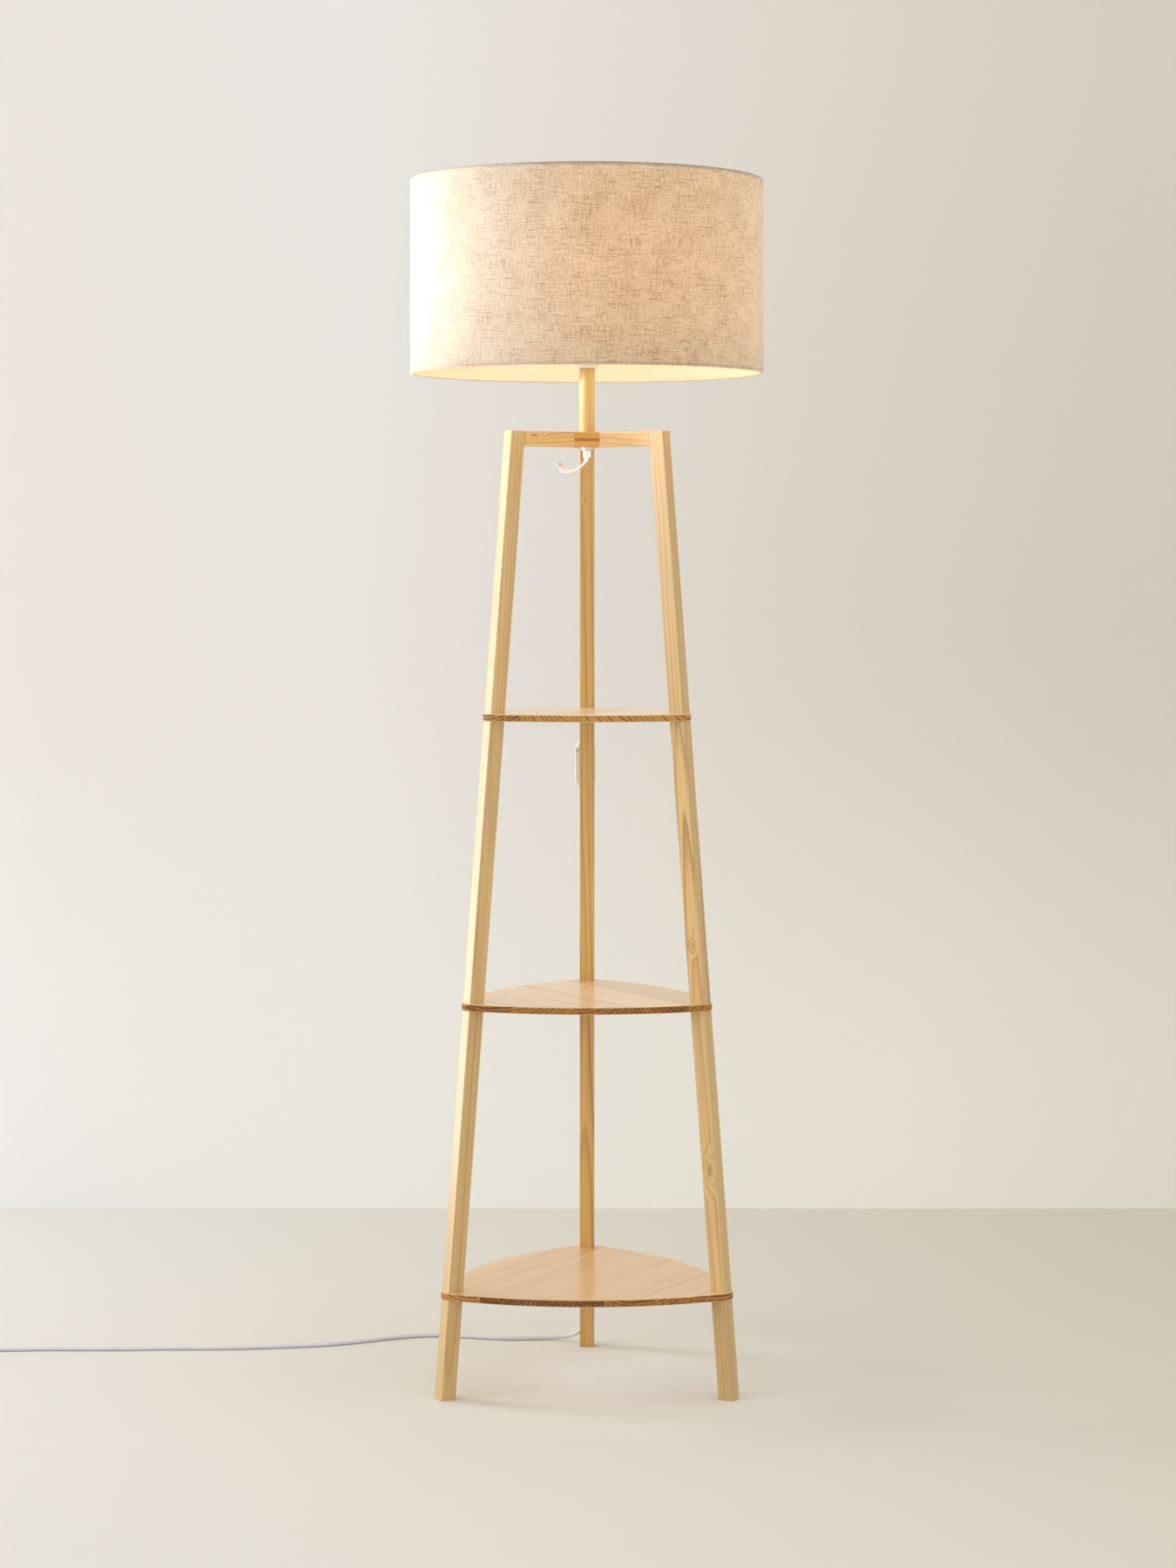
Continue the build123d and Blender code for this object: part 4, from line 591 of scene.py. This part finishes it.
linen_cloth, tree, shader = empty_finish("linen")
where = add(tree, "ShaderNodeTexCoord").outputs
spot = parts(tree, where["Object"])
thread = parts(tree, add(tree, "ShaderNodeUVMap", uv_map="cloth").outputs[0])
cloth = add(tree, "ShaderNodeGroup", {"Around": thread["X"], "Up": thread["Y"]}, node_tree=linen)
cloth.inputs["Yarn"].default_value = YARN
cloth.inputs["Slub"].default_value = SLUB
height_share = map_range(tree, spot["Z"], SHADE_LOW, SHADE_HIGH)
# Painted shade at both rims, on the outside, where the cloth lies double over the wire and lets
# less light through.
rim_painted_shade = ramp(tree, height_share, (0.0, 0.5), (0.010, 0.4), (0.018, 0.0), (0.988, 0.0),
            (0.994, 0.8), (1.0, 0.8))
from_axis = vector_node(tree, "LENGTH", vector_node(tree, "MULTIPLY", where["Object"], (1, 1, 0)))
behind_wire = map_range(tree, from_axis, HEM_SHADE_RADIUS + HEM_BLUR, HEM_SHADE_RADIUS - HEM_BLUR)
looks_down = map_range(tree, parts(tree, where["Normal"])["Z"], -0.25, -0.7)
rolled_in = math_node(tree, "MAXIMUM", behind_wire, looks_down)
edge = math_node(tree, "MULTIPLY", rim_painted_shade, math_node(tree, "SUBTRACT", 1.0, rolled_in))
# Painted light: on the left, where the daylight falls, the weave's flecks fade into one plain
# colour, as a brightly lit side washes out.
sideways = map_range(tree, spot["X"], -SHADE_RADIUS, SHADE_RADIUS)
daylit_side_washout = ramp(tree, sideways, (0.0, 0.45), (0.3, 0.1), (0.5, 0.0))
woven = blend_colour(tree, daylit_side_washout, cloth.outputs["Color"], YARN_PAINTED_DAYLIT)
hem_shaded = blend_colour(tree, math_node(tree, "MULTIPLY", edge, 0.72), woven, HEM_PAINTED_SHADE)
# The linen's emission is painted light: a glow standing in for the bulb's light through the
# cloth. It is strongest at mid-height, and weaker towards the left where the daylight falls,
# under slubs, and over the lap, where the cloth lies double.
glow = ramp(tree, height_share, (0.0, 0.0), (0.022, 0.65), (0.2, 0.9), (0.5, 1.0),
            (0.978, 0.9), (0.986, 0.0))
glow_painted_by_side = ramp(tree, sideways, (0.0, 0.12), (0.2, 0.35), (0.42, 0.92), (0.55, 1.0), (1.0, 1.0))
lap_start = CUT_LENGTH - SEAM_LAP
lapped = map_range(tree, thread["X"], lap_start - LAP_BLUR, lap_start + LAP_BLUR, 1.0, 0.55)
through = math_node(tree, "MULTIPLY", math_node(tree, "MULTIPLY", glow, glow_painted_by_side),
                    math_node(tree, "MULTIPLY", cloth.outputs["Open"], lapped))
lit = blend_colour(tree, 1.0, GLOW, through, "MULTIPLY")
# The hem's inner side, which faces the bulb, gets a warm painted glow.
lit = blend_colour(tree, rolled_in, lit, HEM_GLOW)
wire_up(tree, shader,
        {"Base Color": hem_shaded, "Height": cloth.outputs["Height"], "Emission Color": lit},
        relief=0.0002, Roughness=0.9, Sheen_Weight=0.45, Sheen_Roughness=0.5,
        Specular_IOR_Level=0.2, Emission_Strength=0.36)

# The cloth starts as a grid. Its columns go once round and on over the lap, and its rows
# go up the wall, with half a turn round the wire at each end.
wrap = bpy.data.node_groups.new("cloth wrapped on two rings", "GeometryNodeTree")
for label, kind in (("Radius", "Float"), ("Low", "Float"), ("High", "Float"),
                    ("Hem radius", "Float"), ("Thickness", "Float"), ("Lap", "Float"),
                    ("Steps round", "Int"), ("Steps in a hem", "Int"), ("Cloth", "Material")):
    wrap.interface.new_socket(name=label, in_out="INPUT", socket_type="NodeSocket" + kind)
wrap.interface.new_socket(name="Geometry", in_out="OUTPUT", socket_type="NodeSocketGeometry")
size = wrap.nodes.new("NodeGroupInput").outputs
rows = math_node(wrap, "MULTIPLY_ADD", size["Steps in a hem"], 2.0, 2.0)
grid = add(wrap, "GeometryNodeMeshGrid",
           {"Vertices X": math_node(wrap, "ADD", size["Steps round"], 1.0), "Vertices Y": rows})
index = wrap.nodes.new("GeometryNodeInputIndex").outputs[0]
column = math_node(wrap, "FLOOR",
                   math_node(wrap, "DIVIDE", math_node(wrap, "ADD", index, 0.5), rows))
row = math_node(wrap, "SUBTRACT", index, math_node(wrap, "MULTIPLY", column, rows))
is_high = math_node(wrap, "GREATER_THAN", row, size["Steps in a hem"])
from_end = math_node(wrap, "MINIMUM", row,
                     math_node(wrap, "SUBTRACT", math_node(wrap, "SUBTRACT", rows, 1.0), row))
turn = math_node(wrap, "MULTIPLY", math_node(wrap, "DIVIDE", from_end, size["Steps in a hem"]),
                 math.pi)
centre_line = math_node(wrap, "MULTIPLY_ADD", size["Thickness"], -0.5, size["Radius"])
bend = math_node(wrap, "MULTIPLY_ADD", size["Thickness"], -0.5, size["Hem radius"])
length = math_node(wrap, "MULTIPLY_ADD", centre_line, 2 * math.pi, size["Lap"])
along = math_node(wrap, "MULTIPLY", length,
                  math_node(wrap, "DIVIDE", column, size["Steps round"]))
lift = map_range(wrap, math_node(wrap, "SUBTRACT", length, along), size["Lap"],
                 math_node(wrap, "MULTIPLY", size["Lap"], LAP_SLOPE), LAP_RISE, 0.0, smooth=True)
ring = math_node(wrap, "SUBTRACT", size["Radius"], size["Hem radius"])
out = math_node(wrap, "MULTIPLY_ADD", lift, size["Thickness"],
                math_node(wrap, "SUBTRACT", ring,
                          math_node(wrap, "MULTIPLY", math_node(wrap, "COSINE", turn), bend)))
wall = math_node(wrap, "MULTIPLY_ADD", size["Hem radius"], -2.0,
                 math_node(wrap, "SUBTRACT", size["High"], size["Low"]))
drop = math_node(wrap, "MULTIPLY", math_node(wrap, "SINE", turn), bend)
low_edge = math_node(wrap, "ADD", size["Low"], size["Hem radius"])
above_edge = add(wrap, "ShaderNodeMix",
                 {"Factor": is_high, "A": math_node(wrap, "MULTIPLY", drop, -1.0),
                  "B": math_node(wrap, "ADD", wall, drop)}).outputs[0]
up = math_node(wrap, "ADD", low_edge, above_edge)
unrolled = math_node(wrap, "MULTIPLY", turn, bend)
across = add(wrap, "ShaderNodeMix",
             {"Factor": is_high, "A": unrolled,
              "B": math_node(wrap, "SUBTRACT",
                             math_node(wrap, "MULTIPLY_ADD", bend, 2 * math.pi, wall),
                             unrolled)}).outputs[0]
swing = math_node(wrap, "ADD", math_node(wrap, "DIVIDE", along, centre_line), math.pi / 2)
place = add(wrap, "ShaderNodeCombineXYZ",
            {"X": math_node(wrap, "MULTIPLY", out, math_node(wrap, "COSINE", swing)),
             "Y": math_node(wrap, "MULTIPLY", out, math_node(wrap, "SINE", swing)), "Z": up})
set_place = add(wrap, "GeometryNodeSetPosition",
                {"Geometry": grid.outputs["Mesh"], "Position": place.outputs[0]})
threads = add(wrap, "GeometryNodeStoreNamedAttribute", {"Geometry": set_place.outputs[0]},
              data_type="FLOAT2", domain="CORNER")
threads.inputs["Name"].default_value = "cloth"
flat = add(wrap, "ShaderNodeCombineXYZ", {"X": along, "Y": across}).outputs[0]
wrap.links.new(add(wrap, "GeometryNodeFieldOnDomain", {0: flat}, data_type="FLOAT_VECTOR",
                   domain="POINT").outputs[0], threads.inputs["Value"])
smooth = add(wrap, "GeometryNodeSetShadeSmooth", {"Geometry": threads.outputs[0]})
real = add(wrap, "GeometryNodeRealizeInstances", {"Geometry": smooth.outputs[0]})
faced = add(wrap, "GeometryNodeSetMaterial",
            {"Geometry": real.outputs[0], "Material": size["Cloth"]})
wrap.links.new(faced.outputs[0], wrap.nodes.new("NodeGroupOutput").inputs[0])


def shaped(name, tree, **sizes):
    """A plain mesh from a Geometry Nodes tree whose named inputs are given sizes."""
    made = bpy.data.objects.new(name, bpy.data.meshes.new(name))
    scene.collection.objects.link(made)
    maker = made.modifiers.new("shape", "NODES")
    maker.node_group = tree
    for socket in tree.interface.items_tree:
        key = socket.name.replace(" ", "_")
        if key in sizes:
            maker[socket.identifier] = sizes[key]
    ready = made.evaluated_get(bpy.context.evaluated_depsgraph_get())
    mesh = bpy.data.meshes.new_from_object(ready)
    made.modifiers.clear()
    made.data = mesh
    return made


shade_cloth = shaped("shade_cloth", wrap, Radius=SHADE_RADIUS, Low=SHADE_LOW, High=SHADE_HIGH,
                     Hem_radius=HEM_RADIUS, Thickness=CLOTH, Lap=SEAM_LAP, Steps_round=240,
                     Steps_in_a_hem=14, Cloth=linen_cloth)
walled = shade_cloth.modifiers.new("thickness", "SOLIDIFY")
walled.thickness = CLOTH
walled.offset = 0.0
walled.use_even_offset = True
ready = shade_cloth.evaluated_get(bpy.context.evaluated_depsgraph_get())
solid_cloth = bpy.data.meshes.new_from_object(ready)
solid_cloth.set_sharp_from_angle(angle=math.radians(50))
shade_cloth.modifiers.clear()
shade_cloth.data = solid_cloth
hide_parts("shade_fabric")
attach(shade_cloth, "shade")

# The liner's warm emission is painted light: the bulb's light on it, in a colour that changes
# with height.
made, tree, shader = empty_finish("shade liner")
where = add(tree, "ShaderNodeTexCoord").outputs["Object"]
height_share = map_range(tree, parts(tree, where)["Z"], SHADE_LOW, SHADE_HIGH)
warm = ramp(tree, height_share, (0.0, 0.0), (0.35, 1.0), (0.6, 1.0), (1.0, 0.2))
film = noise(tree, where, 240.0)
wire_up(tree, shader,
        {"Base Color": blend_colour(tree, film, (0.88, 0.76, 0.62, 1), (0.84, 0.71, 0.56, 1)),
         "Emission Color": blend_colour(tree, warm, (1.0, 0.55, 0.22, 1), (1.0, 0.66, 0.34, 1)),
         "Height": film},
        relief=0.00005, Roughness=0.6, Emission_Strength=0.22)
dress(made, "shade_liner")
# The wire's faint emission is painted light from the bulb on the spokes and rings.
dress(moulded("white wire enamel", (0.84, 0.83, 0.79, 1), (0.80, 0.78, 0.73, 1), rough=0.32,
              Emission_Color=(1.0, 0.90, 0.68, 1), Emission_Strength=0.22),
      "shade_frame", "shade_top_ring")


# ---- Lead, clips and switch on the rear leg ----
# White plastic-sheathed lead held to the wood by nailed saddles. A two-shell switch with
# a see-saw rocker is spliced into it below the top shelf.
sheath = moulded("white cord sheath", (0.71, 0.71, 0.74, 1), (0.66, 0.66, 0.70, 1), rough=0.38)
fitting = moulded("white fitting plastic", (0.83, 0.82, 0.80, 1), (0.79, 0.78, 0.75, 1),
                  rough=0.32)
dress(sheath, "lead_upper", "lead_lower")
dress(fitting, "cord_clips", "switch_front", "switch_back", "stem_grommet", "plug_body",
      "plug_relief")
dress(moulded("rocker plastic", (0.86, 0.85, 0.83, 1), (0.83, 0.82, 0.79, 1), rough=0.22),
      "switch_rocker")
dress(moulded("nickel plate", (0.76, 0.74, 0.70, 1), (0.70, 0.68, 0.65, 1), rough=0.18,
              Metallic=1.0), "plug_pins")
dress(moulded("black tie", (0.02, 0.02, 0.02, 1), (0.035, 0.035, 0.035, 1), rough=0.55),
      "cord_tie")


# ---- Free cord ----
# The same lead from the last clip: down behind the rear foot, off to the left across the
# floor, then wound in a flat coil of two layers under a tie, and on to the plug.
CORD = 0.0056
LIE = CORD / 2 + 0.00005           # height of its middle on the floor
HELD_END = (-0.0025, 0.213644, 0.0505)
COIL_X, COIL_Y, COIL_Z = -0.832, HELD_END[1] - 0.045, 0.0036
COIL_OUTER = 0.0370                # radius of the first half turn
COIL_STEP = 0.0031                 # each half turn in is smaller by this
COIL_HALF_TURNS = 8
COIL_RISE = 0.0061                 # from the lower layer of turns to the upper
STEPS = 8                          # control points to a half turn
route = [
    HELD_END,
    (-0.0025, HELD_END[1] + 0.0020, 0.0260),
    (-0.0150, HELD_END[1] + 0.0130, 0.00845),
    (-0.0420, HELD_END[1] + 0.0244, 0.0037),
]
across_floor = [                   # x, and y from the held end
    (-0.070, 0.0230), (-0.115, 0.0205), (-0.163, 0.0350), (-0.213, 0.0445), (-0.261, 0.0275),
    (-0.304, 0.0020), (-0.352, -0.0180), (-0.411, -0.0285), (-0.478, -0.0380),
    (-0.553, -0.0375), (-0.632, -0.0425), (-0.706, -0.0405), (-0.768, -0.0460),
]
route += [(x, HELD_END[1] + y, LIE) for x, y in across_floor]
route.append((COIL_X + 0.0276, COIL_Y, COIL_Z))
route.append((COIL_X + 0.0056, COIL_Y, COIL_Z))

top, layer = COIL_Y, COIL_Z
for number in range(COIL_HALF_TURNS):
    radius = COIL_OUTER - COIL_STEP * min(number, COIL_HALF_TURNS - number)
    side = -1 if number % 2 == 0 else 1
    climb = COIL_RISE if number == COIL_HALF_TURNS / 2 else 0.0
    reach = radius / math.cos(math.pi / STEPS / 2)
    middle = top + side * radius
    for step in range(STEPS):
        swing = (step + 0.5) * math.pi / STEPS
        route.append((COIL_X + side * reach * math.sin(swing),
                      middle - side * reach * math.cos(swing),
                      layer + climb * (1 - math.cos(swing)) / 2))
    top += side * 2 * radius
    layer += climb
route.append((COIL_X - 0.0056, top, layer))
route.append((COIL_X - 0.0316, top, layer))
PLUG_IN = (COIL_X - 0.084, COIL_Y + 0.004, 0.0071)
route.append((PLUG_IN[0] + 0.026, PLUG_IN[1], PLUG_IN[2]))
route.append(PLUG_IN)

line = bpy.data.curves.new("free_cord", "CURVE")
line.dimensions = "3D"
line.bevel_depth = CORD / 2
line.bevel_resolution = 3
line.resolution_u = 6
line.use_fill_caps = True
spline = line.splines.new("NURBS")
spline.points.add(len(route) - 1)
for point, place in zip(spline.points, route):
    point.co = (*place, 1)
spline.order_u = 3
spline.use_endpoint_u = True
free_cord = bpy.data.objects.new("free_cord", line)
scene.collection.objects.link(free_cord)
free_cord.data.materials.append(sheath)
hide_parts("floor_cord", "cord_coil", "cord_tail")
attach(free_cord, "stand")


# ---- Room and light ----
# A pale floor that meets a pale wall behind the lamp, daylight from the left, and the
# lamp's own bulb.
WALL_Y = 1.215
ROOM = 7                           # from the lamp to the other edges of floor and wall
CEILING = 5
DAYLIGHT = (1.0, 0.985, 0.95)


def room_finish(name, axis, start, end, first, last):
    """Matt paint in colours from left to right, which change along a second axis. The changes are
    painted light and shade for how the room's light falls on floor and wall.
    """
    made, tree, shader = empty_finish(name)
    where = add(tree, "ShaderNodeTexCoord").outputs["Object"]
    part = parts(tree, where)
    side = map_range(tree, part["X"], -1, 1)
    share = map_range(tree, part[axis], start, end, smooth=True)
    paint = blend_colour(tree, share, ramp(tree, side, *first), ramp(tree, side, *last))
    wire_up(tree, shader, {"Base Color": paint}, Roughness=0.9, Specular_IOR_Level=0.1)
    return made, tree, shader, paint


def panel(name, corners):
    """A flat wall or floor, which is no part of the lamp."""
    mesh = bpy.data.meshes.new(name)
    mesh.from_pydata(corners, [], [(0, 1, 2, 3)])
    made = bpy.data.objects.new(name, mesh)
    scene.collection.objects.link(made)
    return made


def round_patch(tree, centre, inner, outer):
    """1 within the inner radius about a centre, fading to 0 at the outer one."""
    where = add(tree, "ShaderNodeTexCoord").outputs["Object"]
    away = vector_node(tree, "DISTANCE", where, centre)
    return map_range(tree, away, inner, outer, 1.0, 0.0, smooth=True)


floor = panel("floor", [(-ROOM, -ROOM, 0), (ROOM, -ROOM, 0), (ROOM, ROOM, 0), (-ROOM, ROOM, 0)])
wall = panel("wall", [(-ROOM, WALL_Y, 0), (ROOM, WALL_Y, 0), (ROOM, WALL_Y, CEILING),
                      (-ROOM, WALL_Y, CEILING)])
made, tree, shader, paint = room_finish(
    "floor paint", "Y", -1.0, 1.2,
    ((0.07, (0.715, 0.70, 0.67, 1)), (0.5, (0.72, 0.70, 0.645, 1)),
     (0.93, (0.69, 0.655, 0.565, 1))),
    ((0.07, (0.66, 0.65, 0.62, 1)), (0.5, (0.68, 0.66, 0.60, 1)),
     (0.93, (0.65, 0.61, 0.53, 1))))
# Painted light: the floor is paler round the lamp and glows faintly bluish under the bottom
# shelf, lightening the shade the lamp throws there.
painted_light_near_lamp = round_patch(tree, (0.06, 0.0, 0.0), 0.14, 0.38)
painted_light_under_shelf = round_patch(tree, (0.035, 0.02, 0.0), 0.02, 0.21)
wire_up(tree, shader,
        {"Base Color": blend_colour(tree, painted_light_near_lamp, paint, (0.79, 0.775, 0.715, 1)),
         "Emission Color": blend_colour(tree, painted_light_under_shelf, (0, 0, 0, 1), (0.60, 0.80, 1.0, 1))},
        Emission_Strength=0.23)
floor.data.materials.append(made)

made, tree, shader, paint = room_finish(
    "wall paint", "Z", 0.05, 1.0,
    ((0.07, (0.807, 0.807, 0.812, 1)), (0.3, (0.849, 0.849, 0.828, 1)),
     (0.75, (0.869, 0.859, 0.818, 1)), (0.93, (0.828, 0.818, 0.771, 1))),
    ((0.07, (0.750, 0.730, 0.724, 1)), (0.32, (0.797, 0.787, 0.792, 1)),
     (0.65, (0.740, 0.719, 0.683, 1)), (0.93, (0.688, 0.673, 0.621, 1))))
see_past = add(tree, "ShaderNodeMixShader",
               {0: add(tree, "ShaderNodeNewGeometry").outputs["Backfacing"],
                1: shader.outputs[0],
                2: add(tree, "ShaderNodeBsdfTransparent").outputs[0]})
tree.links.new(see_past.outputs[0], tree.nodes["Material Output"].inputs["Surface"])
wall.data.materials.append(made)

sky = bpy.data.worlds.new("soft room light")
sky.use_nodes = True
sky.node_tree.nodes["Background"].inputs["Color"].default_value = (1.0, 0.985, 0.955, 1)
sky.node_tree.nodes["Background"].inputs["Strength"].default_value = 1.0
scene.world = sky


def light(name, kind, place, power, colour, aim=None, size=None, spread=None):
    """A light of the room. One that is aimed has a size, and a spread if it is narrow."""
    data = bpy.data.lights.new(name, kind)
    data.energy = power
    data.color = colour
    made = bpy.data.objects.new(name, data)
    made.location = place
    if aim is not None:
        made.rotation_euler = (Vector(aim) - Vector(place)).to_track_quat("-Z", "Y").to_euler()
        data.shape = "RECTANGLE"
        data.size, data.size_y = size
    if spread is not None:
        data.spread = spread
    scene.collection.objects.link(made)
    return made


light("window beside the wall", "AREA", (-2.45, 1.0, 1.15), 40, DAYLIGHT, (0, -0.42, 1.15),
      (0.9, 2.2))
light("window at the left", "AREA", (-3.9, -2.3, 1.85), 27, DAYLIGHT, (0, 0, 1.4), (1.6, 1.8))
ON_SHADE = (0, 0, 1.42)
BEAM = math.radians(9)
light("window beam on the shade", "AREA", (-4.0, -0.42, 1.42), 0.93, (0.95, 0.97, 1.04),
      ON_SHADE, (0.3, 0.25), BEAM)
light("room light back on the shade", "AREA", (4.0, 0, 1.42), 0.13, (1.0, 0.98, 0.92),
      ON_SHADE, (0.3, 0.25), BEAM)
bulb_light = light("bulb light", "POINT", (0, 0, 1.39), 1.0, (1.0, 0.80, 0.52))
bulb_light.data.shadow_soft_size = 0.02
nodes["bulb_diffuser"].visible_shadow = False   # that light stands inside the dome

scene.view_settings.view_transform = "Standard"
scene.view_settings.look = "None"
